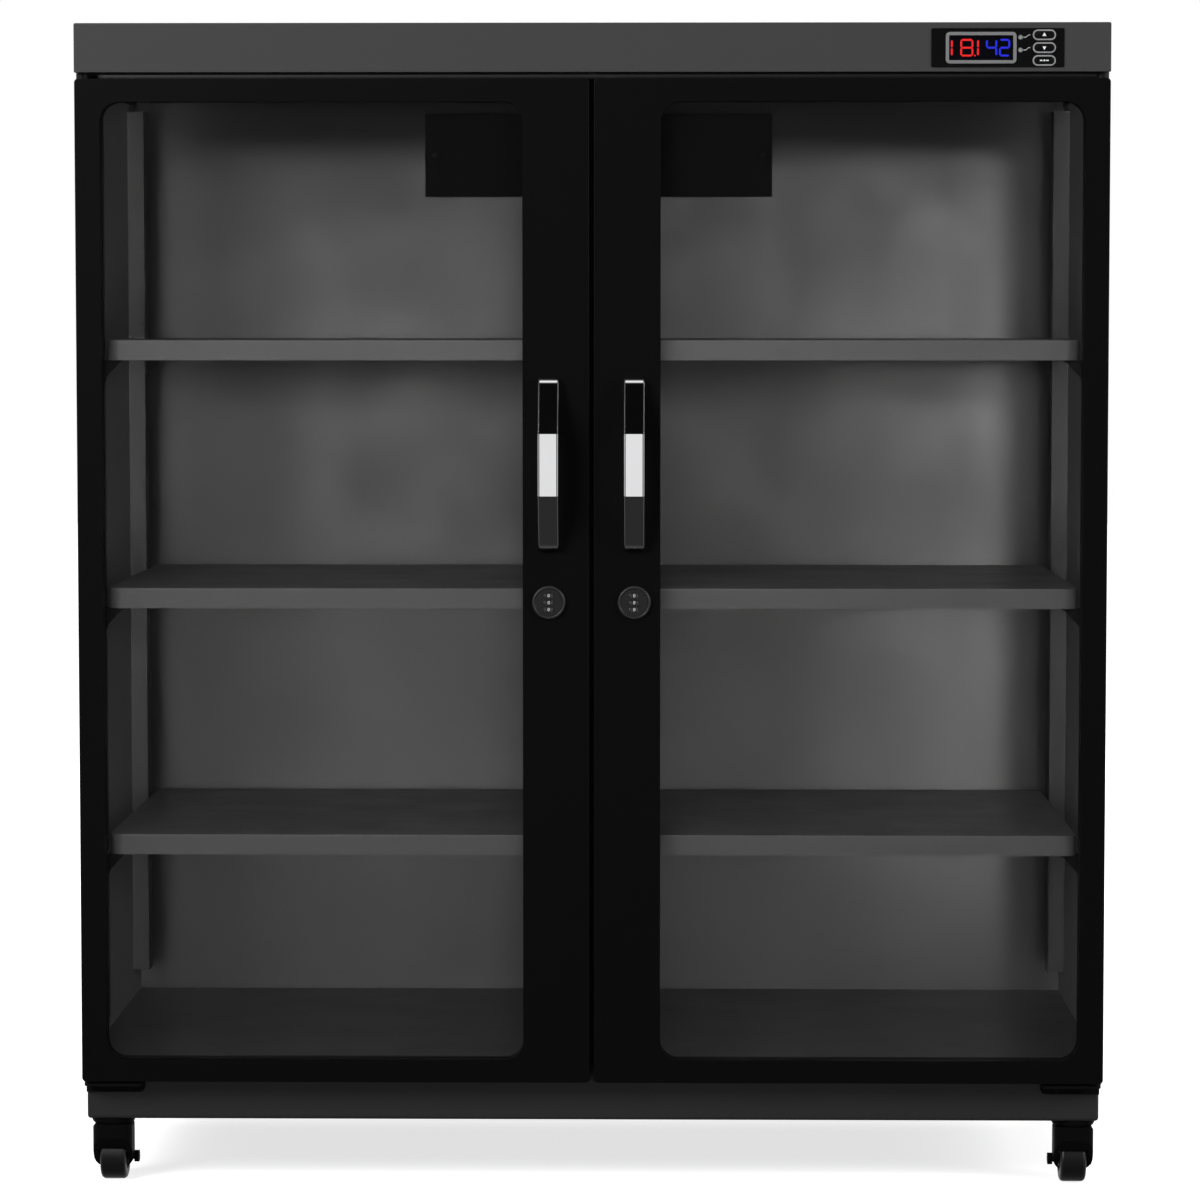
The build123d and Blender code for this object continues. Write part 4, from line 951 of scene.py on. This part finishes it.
@dataclass
class ControlPanel(Assembly):
    """The panel in the fascia: display digits, button faces, lamps and printed leaders."""

    bezel_band: float = 2.6 * MM
    bezel_proud: float = 0.6 * MM
    bezel_over: float = 0.2 * MM                # width and height beyond the display's
    bezel_corner: float = 3.6 * MM
    bezel_rim: float = 0.25 * MM
    digit_height: float = 15.2 * MM
    digit_depth: float = 0.12 * MM
    digit_gap: float = 1.5 * MM
    half_gap: float = 4.9 * MM                  # more, after the half digit that leads a number
    point_gap: float = 1.3 * MM
    point_back: float = 0.2 * MM                # how far the point sits back towards its digit
    stroke: float = 1.7 * MM
    stroke_gap: float = 0.25 * MM
    stroke_tip: float = 0.42                    # cut of a stroke's corners, as a share of it
    print_depth: float = 0.1 * MM
    print_rim: float = 0.2 * MM
    pad_size: Place = (17.6 * MM, 0.24 * MM, 6.7 * MM)
    pad_corner: float = 3.3 * MM
    pad_rim: float = 0.1 * MM
    arrow_radius: float = 2.0 * MM
    dot_radius: float = 0.9 * MM
    bar_size: tuple[float, float] = (2.4 * MM, 1.0 * MM)
    bar_offset: float = 2.6 * MM
    lamp_radius: float = 1.3 * MM
    lamp_ring: float = 0.7 * MM
    lamp_ring_height: float = 0.3 * MM
    leader_width: float = 0.7 * MM
    leader_runs: tuple[float, float] = (1.6 * MM, 2.4 * MM)     # level, then sloping
    leader_rest: float = 6.0 * MM               # what both runs and the last gap take up
    segments: ClassVar[dict[str, str]] = {"1": "bc", "8": "abcdefg", "4": "bcfg", "2": "abdeg"}
    coats = {
        "panel_plastic": ("control_panel",),
        "display_window": ("display_module",),
        "lamp_lens": ("indicator_leds",),
        "circuit_board": ("control_board",),
        "button_plastic": ("button_up", "button_down", "button_set"),
    }

    def fit(self) -> None:
        """Models what is printed and lit on the panel."""
        self.bezel()
        self.number("display_number_left", "1 8.1", -0.435, 11.4 * MM, "digit_red")
        self.number("display_number_right", "42", 0.067, 9.8 * MM, "digit_blue")
        self.button_faces()
        self.leaders()

    def bezel(self) -> None:
        """Models the raised ring round the display."""
        window = Extent.of("display_module")
        size = (window.size.x + self.bezel_over, self.bezel_proud,
                window.size.z + self.bezel_over)
        centre = (window.centre.x, window.low.y - self.bezel_proud / 2, window.centre.z)
        ring = rounded_plate("display_bezel", centre, size, self.bezel_corner, self.bezel_rim)
        open_middle(ring, self.bezel_band)
        self.wardrobe.add(ring, self.body, "panel_plastic", "bezel_grey")

    def segment(self, across: float, up: float, length: float, upright: bool) -> bpy.types.Object:
        """Models one bar of a digit, pointed at both ends.

        Args:
            across: Its middle, along x.
            up: Its middle, along z.
            length: Its length.
            upright: Whether it stands.

        Returns:
            The bar, as a piece to be joined.
        """
        middle = Extent.of("display_module").low.y - self.digit_depth / 2
        wide, tall = (self.stroke, length) if upright else (length, self.stroke)
        bar = box_blank("segment", (across, middle, up), (wide, self.digit_depth, tall))
        with Bench(bar) as bench:
            bench.edges(lambda middle, run: abs(run.y) > ALONG)
            bpy.ops.mesh.bevel(offset=self.stroke * self.stroke_tip, segments=1)
        return bar

    def digit(self, figure: str, left: float, middle: float,
              width: float) -> list[bpy.types.Object]:
        """Models the lit bars of one digit.

        Args:
            figure: The digit.
            left: Its left edge.
            middle: Height of its middle.
            width: Its width.

        Returns:
            The bars.
        """
        half = self.digit_height / 2
        reach = half - self.stroke / 2
        flat = width - self.stroke - 2 * self.stroke_gap
        tall = half - self.stroke / 2 - 2 * self.stroke_gap
        right, centre = left + width - self.stroke / 2, left + width / 2
        near = left + self.stroke / 2
        upper, lower = middle + reach / 2, middle - reach / 2
        bars = {
            "a": (centre, middle + reach, flat, False), "b": (right, upper, tall, True),
            "c": (right, lower, tall, True), "d": (centre, middle - reach, flat, False),
            "e": (near, lower, tall, True), "f": (near, upper, tall, True),
            "g": (centre, middle, flat, False),
        }
        return [self.segment(*bars[key]) for key in self.segments[figure]]

    def number(self, name: str, text: str, start: float, width: float, finish: str) -> None:
        """Models a lit number.

        Args:
            name: The piece's name.
            text: Its digits, with an optional point, and a space after a half digit.
            start: Its left edge, as a share of the window's width from the middle.
            width: Width of one digit.
            finish: The finish of its bars.
        """
        window = Extent.of("display_module")
        left = window.centre.x + start * window.size.x
        bars: list[bpy.types.Object] = []
        for figure in text:
            if figure == " ":
                left += self.half_gap
                continue
            if figure == ".":
                dot = window.centre.z - self.digit_height / 2 + self.stroke / 2
                bars.append(self.segment(left - self.point_back, dot, self.stroke * 0.98, True))
                left += self.point_gap
                continue
            span = self.stroke * 1.2 if figure == "1" else width
            bars += self.digit(figure, left - (width - span), window.centre.z, width)
            left += span + self.digit_gap
        self.wardrobe.add(joined(name, bars), self.body, "display_window", finish)

    def button_faces(self) -> None:
        """Models the dark pad and the light mark on each button."""
        thick = self.pad_size[1]
        for key in ("up", "down", "set"):
            button = f"button_{key}"
            cap = Extent.of(button)
            x, face, z = cap.centre.x, cap.low.y, cap.centre.z
            pad = rounded_plate(f"{button}_pad", (x, face - thick / 2, z), self.pad_size,
                                self.pad_corner, self.pad_rim)
            self.wardrobe.add(pad, button, "button_plastic", "button_face")
            mark = self.mark(key, (x, face - thick, z))
            self.wardrobe.add(mark, button, "button_plastic", "print_white")

    def mark(self, key: str, place: Place) -> bpy.types.Object:
        """Models a button's mark: an arrow head, or a dot between two bars.

        Args:
            key: The button's name.
            place: Middle of the pad's face.

        Returns:
            The mark.
        """
        name, depth = f"button_{key}_mark", self.print_depth
        x, y, z = place
        if key == "set":
            wide, tall = self.bar_size
            bars = [box_blank(name, (x + side.value * self.bar_offset, y - depth / 2, z),
                              (wide, depth, tall)) for side in Side]
            dot = round_blank(name, self.dot_radius, depth, 20)
            dot.data.transform(Matrix.Translation(place) @ Facing.FRONT.value)
            mark = joined(name, [*bars, dot])
        else:
            mark = round_blank(name, self.arrow_radius, depth, 3)
            turn = Matrix.Rotation(math.radians(0 if key == "up" else 180), 4, "Y")
            mark.data.transform(Matrix.Translation(place) @ turn @ Facing.FRONT.value)
        with Bench(mark) as bench:
            bench.edges(lambda middle, run: abs(run.y) > ALONG)
            bpy.ops.mesh.bevel(offset=self.print_rim, segments=2)
        return mark

    def leaders(self) -> None:
        """Models the printed line from each lamp to its button, and the lamp's ring."""
        face = Extent.of("control_panel").low.y
        lamps = Extent.of("indicator_leds")
        x, radius, depth = lamps.centre.x, self.lamp_radius, self.print_depth
        level, slope = self.leader_runs
        rows = (("up", lamps.high.z - radius), ("down", lamps.low.z + radius))
        for index, (key, z) in enumerate(rows, start=1):
            button = Extent.of(f"button_{key}")
            ring = round_blank(f"lamp_ring_{index}", radius + self.lamp_ring,
                               self.lamp_ring_height)
            ring.data.transform(Matrix.Translation((x, face, z)) @ Facing.FRONT.value)
            open_middle(ring, self.lamp_ring - 0.1 * MM)
            self.wardrobe.add(ring, self.body, "panel_plastic", "bezel_grey")
            start = x + radius + 2 * self.leader_width
            line = box_blank(f"lamp_leader_{index}", (start, face - depth / 2, z),
                             (self.leader_width, depth, self.leader_width))
            runs = ((level, 0.0), (slope, button.centre.z - z),
                    (button.low.x - start - self.leader_rest, 0.0))
            with Bench(line) as bench:
                for run, lift in runs:
                    reach = max(v.co.x for v in bmesh.from_edit_mesh(line.data).verts)
                    bench.faces(lambda middle, normal, end=reach - 0.01 * MM:
                                middle.x > end and normal.x > 0.5)
                    bpy.ops.mesh.extrude_region_move(
                        TRANSFORM_OT_translate={"value": (run, 0.0, lift)})
            self.wardrobe.add(line, self.body, "panel_plastic", "print_grey")


@dataclass
class Door(Assembly):
    """One glazed door with its handle and combination lock."""

    side: Side
    number_size: float = 4.185 * MM
    number_depth: float = 0.12 * MM
    ring_radius: float = 13.1 * MM
    ring_thickness: float = 0.9 * MM
    ring_sink: float = 0.4          # share of the ring's thickness that is let into the collar
    coats = {
        "door_paint": ("door_frame", "door_liner"),
        "clear_glass": ("door_glass",),
        "seal_rubber": ("door_seals",),
        "bush_nylon": ("door_bushes",),
        "chrome": ("door_handle",),
        "lock_metal": ("lock_bezel", "lock_core"),
        "dial_plastic": ("lock_dial_1", "lock_dial_2", "lock_dial_3"),
    }

    def build(self) -> None:
        """Dresses the door and models its lock's numbers and ring."""
        self.dress(f"_{self.side.word}")
        self.lock_ring()
        self.dials()

    def lock_ring(self) -> None:
        """Models the turned ring on the lock's collar."""
        end = self.side.word
        collar = Extent.of(f"lock_bezel_{end}")
        ring = ring_blank(f"lock_ring_{end}", (collar.centre.x, collar.low.y, collar.centre.z),
                          (math.pi / 2, 0.0, 0.0), (self.ring_radius, self.ring_thickness),
                          (72, 12))
        with Bench(ring):
            back = collar.low.y + self.ring_thickness * self.ring_sink
            bpy.ops.mesh.select_all(action="SELECT")
            bpy.ops.mesh.bisect(plane_co=(0.0, back, 0.0), plane_no=(0.0, 1.0, 0.0), use_fill=True,
                                clear_outer=True)
        self.wardrobe.add(ring, f"door_{end}", "lock_metal", "lock_edge")

    def number_ring(self, radius: float) -> bpy.types.Object:
        """Models the ten numbers round a dial, its axis at the origin and 0 towards -Y.

        Args:
            radius: The dial's radius.

        Returns:
            The ring of numbers, as a template.
        """
        figures: list[bpy.types.Object] = []
        for count in range(10):
            clear_selection()
            bpy.ops.object.text_add(location=(0.0, 0.0, 0.0))
            figure = bpy.context.object
            text = figure.data
            text.body, text.size, text.extrude = str(count), self.number_size, self.number_depth
            text.resolution_u, text.align_x, text.align_y = 3, "CENTER", "CENTER"
            bpy.ops.object.convert(target="MESH")
            turn = Matrix.Rotation(math.tau * count / 10, 4, "Z")
            out = Matrix.Translation((0.0, -radius, 0.0))
            figure.data.transform(turn @ out @ Facing.FRONT.value)
            figures.append(figure)
        return joined("number_ring_template", figures)

    def dials(self) -> None:
        """Puts the numbers on the three dials."""
        end = self.side.word
        template = self.number_ring(Extent.of(f"lock_dial_1_{end}").size.x / 2)
        for index in (1, 2, 3):
            node = f"lock_dial_{index}_{end}"
            numbers = copied(template, f"dial_numbers_{index}_{end}",
                             Matrix.Translation(Extent.of(node).centre))
            self.wardrobe.add(numbers, node, "dial_plastic", "print_white")
        discard(template)


@dataclass
class Hinges(Assembly):
    """The hinge brackets with the screws that hold the lower pair."""

    screw: Screw = Screw(2.2 * MM, 0.9 * MM, 0.45 * MM)
    bracket_thickness: float = 3.0 * MM
    screw_drop: float = 7.55 * MM                               # below the plinth's top
    screw_places: tuple[float, ...] = (14.0 * MM, 38.0 * MM)    # from the plinth's end
    coats = {"bracket_paint": ("hinge_brackets",)}

    def fit(self) -> None:
        """Sets the screws."""
        plinth = Extent.of("base_plinth")
        face = plinth.low.y - self.bracket_thickness
        z = plinth.high.z - self.screw_drop
        places = [(side.value * (plinth.high.x - inset), face, z)
                  for side in Side for inset in self.screw_places]
        self.screw.drive(self.wardrobe, "hinge_screws", self.body, "bracket_paint", Facing.FRONT,
                         places, "dark_screw")


@dataclass
class Castors(Assembly):
    """Four swivel castors with hub caps and two moulding lines on each tread."""

    cap_radius: float = 5.6 * MM
    cap_height: float = 1.4 * MM
    cap_dome: float = 0.8           # share of the cap's height that is rounded
    line_radius: float = 0.28 * MM
    line_offset: float = 5.5 * MM
    coats = {"castor_plastic": ("castor_yoke",), "wheel_rubber": ("castor_wheel",)}

    def build(self) -> None:
        """Dresses the castors and models the hub caps and tread lines."""
        self.wardrobe.dress("castor_plastic", "castor_mounts")
        for end in ("front", "rear"):
            for side in Side:
                corner = f"{end}_{side.word}"
                self.dress(f"_{corner}")
                self.tread(corner)
                self.axle_cap(corner, side)

    def tread(self, corner: str) -> None:
        """Models the two raised moulding lines round a wheel's tread.

        Args:
            corner: The castor's corner.
        """
        wheel = Extent.of(f"castor_wheel_{corner}")
        x, y, z = wheel.centre
        radii = (wheel.size.z / 2 - self.line_radius, self.line_radius)
        rings = [ring_blank("tread_line", (x + offset, y, z), (0.0, math.pi / 2, 0.0), radii,
                            (64, 8)) for offset in (-self.line_offset, self.line_offset)]
        piece = joined(f"tread_lines_{corner}", rings)
        self.wardrobe.add(piece, f"castor_wheel_{corner}", "wheel_rubber", "tread_groove")

    def axle_cap(self, corner: str, side: Side) -> None:
        """Models the domed head of the axle bolt on the outer side of a yoke.

        Args:
            corner: The castor's corner.
            side: The side of the cabinet.
        """
        wheel = Extent.of(f"castor_wheel_{corner}")
        yoke = Extent.of(f"castor_yoke_{corner}")
        outer, facing = ((yoke.high.x, Facing.RIGHT) if side is Side.RIGHT
                         else (yoke.low.x, Facing.LEFT))
        top = self.cap_height
        cap = round_blank(f"axle_cap_{corner}", self.cap_radius, top)
        with Bench(cap) as bench:
            bench.edges(lambda middle, run: middle.z > top * ALONG and abs(run.z) < ACROSS)
            bpy.ops.mesh.bevel(offset=top * self.cap_dome, segments=4)
        place = Vector((outer - side.value * top, wheel.centre.y, wheel.centre.z))
        cap.data.transform(Matrix.Translation(place) @ facing.value)
        self.wardrobe.add(cap, f"castor_yoke_{corner}", "castor_plastic")


# ---- Studio ----------------------------------------------------------------------------------
@dataclass(frozen=True)
class Lamp:
    """A soft box, or a soft-edged spot if a cone is given."""

    name: str
    place: Place
    aim: Place
    size: tuple[float, float]
    power: float
    group: str | None = None       # group of objects that it alone lights, or leaves out
    cone: float = 0.0              # a spot's full angle, in degrees

    def hang(self, groups: dict[str, bpy.types.Collection]) -> None:
        """Hangs the lamp.

        Args:
            groups: Named groups of objects that a lamp may be limited to.
        """
        data = bpy.data.lights.new(self.name, "SPOT" if self.cone else "AREA")
        if self.cone:
            data.shadow_soft_size = self.size[0]
            data.spot_size = math.radians(self.cone)
            data.spot_blend = 1.0
        else:
            data.shape = "RECTANGLE"
            data.size, data.size_y = self.size
        data.energy = self.power
        lamp = bpy.data.objects.new(self.name, data)
        lamp.location = self.place
        aim = Vector(self.aim) - Vector(self.place)
        lamp.rotation_euler = aim.to_track_quat("-Z", "Y").to_euler()
        lamp.visible_camera = False
        if self.group:
            lamp.light_linking.receiver_collection = groups[self.group]
        bpy.context.scene.collection.objects.link(lamp)
        LOG.info("lamp %s", self.name)


@dataclass(frozen=True)
class Pool:
    """A soft pool of light on the chamber's back wall."""

    x: float
    z: float
    radius: float
    power: float
    lift: float = 0.1              # height of its lamp above the pool
    soft: float = 0.2              # radius of its lamp
    throw: float = 2.6             # distance of its lamp from the wall
    spread: float = 1.6            # how much further out than the pool its lamp stands

    def lamp(self, index: int, wall: float) -> Lamp:
        """Works out the spot that makes the pool.

        Args:
            index: The pool's number.
            wall: Depth of the wall.

        Returns:
            The spot.
        """
        place = (self.x * self.spread, wall - self.throw, self.z + self.lift)
        cone = 2 * math.degrees(math.atan(self.radius / self.throw))
        aim = (self.x, wall, self.z)
        return Lamp(f"pool_{index}", place, aim, (self.soft, self.soft), self.power, "wall", cone)


@dataclass
class Studio:
    """Floor, surroundings, lamps and camera."""

    nodes: dict[str, bpy.types.Object]
    fill: float = 0.3
    floor_size: float = 24.0
    floor_fade: tuple[float, float] = (0.9, 2.6)    # distances between which it turns white
    floor_glow: tuple[float, float] = (0.72, 1.0)
    lens: float = 126.0                             # millimetres, as is the film's width
    film: float = 36.0
    camera_place: Place = (0.0637, -3.862, 0.7667)
    camera_tilt: float = 3.80                       # degrees down
    camera_turn: float = 0.88                       # degrees to the left
    lamps: tuple[Lamp, ...] = (
        Lamp("key", (-2.6, -3.2, 2.6), (0.0, 0.0, 0.55), (1.8, 1.8), 120.0, "outside"),
        Lamp("side", (3.2, -1.8, 1.8), (0.0, 0.0, 0.5), (1.6, 1.6), 60.0, "outside"),
        Lamp("rear", (0.5, 3.4, 2.4), (0.0, 0.0, 0.5), (2.0, 1.4), 60.0),
        Lamp("shelf_front", (-0.3, -2.7, 1.45), (0.0, 0.2, 0.65), (1.8, 0.4), 48.0, "shelving"),
        Lamp("floor_front", (-0.3, -2.7, 0.84), (0.0, 0.2, 0.65), (1.8, 0.4), 33.0, "bottom"),
        Lamp("side_wash", (0.0, -2.2, 0.55), (0.0, 0.0, 0.55), (0.4, 0.9), 300.0, "sides"),
        Lamp("upright_front", (-0.3, -2.7, 0.84), (0.0, 0.2, 0.65), (1.8, 0.4), 3.0, "uprights"),
        Lamp("landing_low", (-1.6, -2.3, 0.8), (0.0, -0.17, 0.98), (0.6, 0.3), 60.0, "landing"),
        Lamp("plinth_low", (0.0, -3.0, 0.12), (0.0, -0.17, 0.08), (1.6, 0.2), 5.0, "plinth"),
        Lamp("handle_card", (-0.04, -2.4, 0.56), (0.0, -0.2, 0.64), (0.7, 0.34), 0.7, "handles"),
    )
    pools: tuple[Pool, ...] = (
        Pool(-0.22, 0.79, 0.23, 72.0, 0.25), Pool(-0.22, 0.62, 0.22, 34.0),
        Pool(-0.22, 0.41, 0.22, 50.0), Pool(-0.22, 0.20, 0.22, 68.0),
        Pool(0.15, 0.79, 0.24, 48.0, 0.25), Pool(0.15, 0.62, 0.24, 19.0),
        Pool(0.15, 0.41, 0.24, 25.0), Pool(0.15, 0.20, 0.24, 52.0),
        Pool(0.37, 0.82, 0.16, 76.0, 0.25, 0.12), Pool(0.37, 0.63, 0.16, 66.0, 0.1, 0.12),
        Pool(0.375, 0.42, 0.15, 100.0, 0.1, 0.12), Pool(0.37, 0.22, 0.15, 96.0, 0.1, 0.12),
    )

    groups: ClassVar[dict[str, tuple[str, ...]]] = {
        # The lamps of "outside" light everything but these nodes, the others' nothing else.
        "outside": ("back_panel", "roof_panel", "floor_pan", "front_frame", "dryer_cover",
                    "humidity_sensor", "shelf_uprights", "shelf_clips", "shelf_lower",
                    "shelf_middle", "shelf_upper"),
        "wall": ("back_panel",),
        "shelving": ("shelf_clips", "shelf_lower", "shelf_middle", "shelf_upper"),
        "bottom": ("side_panel_right", "side_panel_left", "floor_pan", "humidity_sensor"),
        "uprights": ("shelf_uprights",),
        "landing": ("front_frame",),
        "plinth": ("base_plinth",),
        "sides": ("side_panel_right", "side_panel_left"),
        "handles": ("door_handle_left", "door_handle_right"),
    }

    def build(self) -> None:
        """Sets everything up."""
        groups = {name: self.group(name, members) for name, members in self.groups.items()}
        wall = Extent.of("back_panel").low.y
        pools = [pool.lamp(index, wall) for index, pool in enumerate(self.pools)]
        for lamp in (*self.lamps, *pools):
            lamp.hang(groups)
        self.surroundings()
        self.floor()
        self.camera()

    def group(self, name: str, members: Iterable[str]) -> bpy.types.Collection:
        """Groups the nodes that a lamp is limited to, or leaves out.

        Args:
            name: The group's name.
            members: The nodes in it.

        Returns:
            The group.
        """
        made = bpy.data.collections.new(name)
        for member in members:
            made.objects.link(self.nodes[member])
        if name == "outside":
            for link in made.collection_objects:
                link.light_linking.link_state = "EXCLUDE"
        return made

    def surroundings(self) -> None:
        """Makes a white background with a soft fill, and dark flags in front for reflections."""
        world = bpy.data.worlds.new("studio")
        sheet = Sheet.of(world)
        path = sheet.add("LightPath").outputs
        direction = sheet.add("SeparateXYZ", Vector=sheet.add("TexCoord").outputs["Generated"])
        behind = sheet.window(direction.outputs["Y"], -0.15, 0.35)
        above = sheet.window(direction.outputs["Z"], -0.75, -0.2)
        overhead = sheet.window(direction.outputs["Z"], 0.84, 0.93)
        flank = sheet.window(direction.outputs["Y"], -0.62, -0.3)
        tilt = sheet.sum("ABSOLUTE", direction.outputs["Z"], 0.0)
        near_level = sheet.spread(sheet.window(tilt, 0.06, 0.14), 1.0, 0.12)
        level = sheet.sum("MULTIPLY", flank, near_level)
        open_sky = sheet.sum("MAXIMUM", sheet.sum("MAXIMUM", behind, overhead), level)
        lit = sheet.sum("MULTIPLY", open_sky, sheet.spread(above, 0.3, 1.0))
        mirrored = sheet.sum("ADD", lit, sheet.spread(above, 0.028, 0.003))
        fill, seen, reflected = (
            sheet.add("Background", Color=(*grey(1.0), 1.0), Strength=strength)
            for strength in (self.fill, 1.0, mirrored))
        first = sheet.paired("MixShader", None, fill.outputs[0], reflected.outputs[0], 1)
        sheet.feed(first.inputs["Fac"], path["Is Glossy Ray"])
        second = sheet.paired("MixShader", None, first.outputs[0], seen.outputs[0], 1)
        shown = sheet.sum("MAXIMUM", path["Is Camera Ray"], path["Is Transmission Ray"])
        sheet.feed(second.inputs["Fac"], shown)
        out = sheet.add("OutputWorld")
        sheet.feed(out.inputs["Surface"], second.outputs[0])
        bpy.context.scene.world = world

    def floor(self) -> None:
        """Lays a pale floor that keeps the object's shadow."""
        clear_selection()
        bpy.ops.mesh.primitive_plane_add(size=self.floor_size, location=(0.0, 0.0, 0.0))
        floor = bpy.context.object
        floor.name = "studio_floor"
        material = bpy.data.materials.new("studio_floor")
        sheet = Sheet.of(material)
        place = sheet.add("TexCoord").outputs["Object"]
        cloth = sheet.add("TexNoise", Vector=place, Scale=3.0, Detail=2.0)
        tone = sheet.blend(cloth.outputs[0], (*grey(0.9), 1.0), (*grey(0.86), 1.0))
        matt = sheet.add("BsdfDiffuse", Color=tone)
        distance = sheet.add("VectorMath", {"operation": "LENGTH"})
        sheet.feed(distance.inputs[0], place)
        away = sheet.window(distance.outputs["Value"], *self.floor_fade)
        level = sheet.spread(away, *self.floor_glow)
        seen = sheet.sum("MULTIPLY", sheet.add("LightPath").outputs["Is Camera Ray"], level)
        shown = sheet.add("Emission", Color=(*grey(1.0), 1.0), Strength=seen)
        both = sheet.paired("AddShader", None, matt.outputs[0], shown.outputs[0])
        out = sheet.add("OutputMaterial")
        sheet.feed(out.inputs["Surface"], both.outputs[0])
        floor.data.materials.append(material)
        floor.visible_glossy = False

    def camera(self) -> None:
        """Sets the camera level with the upper shelves, a little right of the middle."""
        data = bpy.data.cameras.new("camera")
        data.lens = self.lens
        data.sensor_width = self.film
        camera = bpy.data.objects.new("camera", data)
        camera.location = self.camera_place
        camera.rotation_euler = (math.radians(90 - self.camera_tilt), 0.0,
                                 math.radians(self.camera_turn))
        bpy.context.scene.collection.objects.link(camera)
        bpy.context.scene.camera = camera


# ---- Assembly --------------------------------------------------------------------------------
def main() -> None:
    """Builds the dressed cabinet and its studio."""
    logging.basicConfig(level=logging.INFO, format="%(name)s: %(message)s")
    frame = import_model()
    clear_selection()
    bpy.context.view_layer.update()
    wardrobe = Wardrobe(frame["nodes"])
    doors = (Door(wardrobe, side) for side in Side)
    for assembly in (Carcass(wardrobe), Shelving(wardrobe), Dryer(wardrobe),
                     ControlPanel(wardrobe), Hinges(wardrobe), *doors, Castors(wardrobe)):
        assembly.build()
    Studio(frame["nodes"]).build()
    bpy.context.scene.view_settings.view_transform = "Standard"


if __name__ == "__main__":
    main()
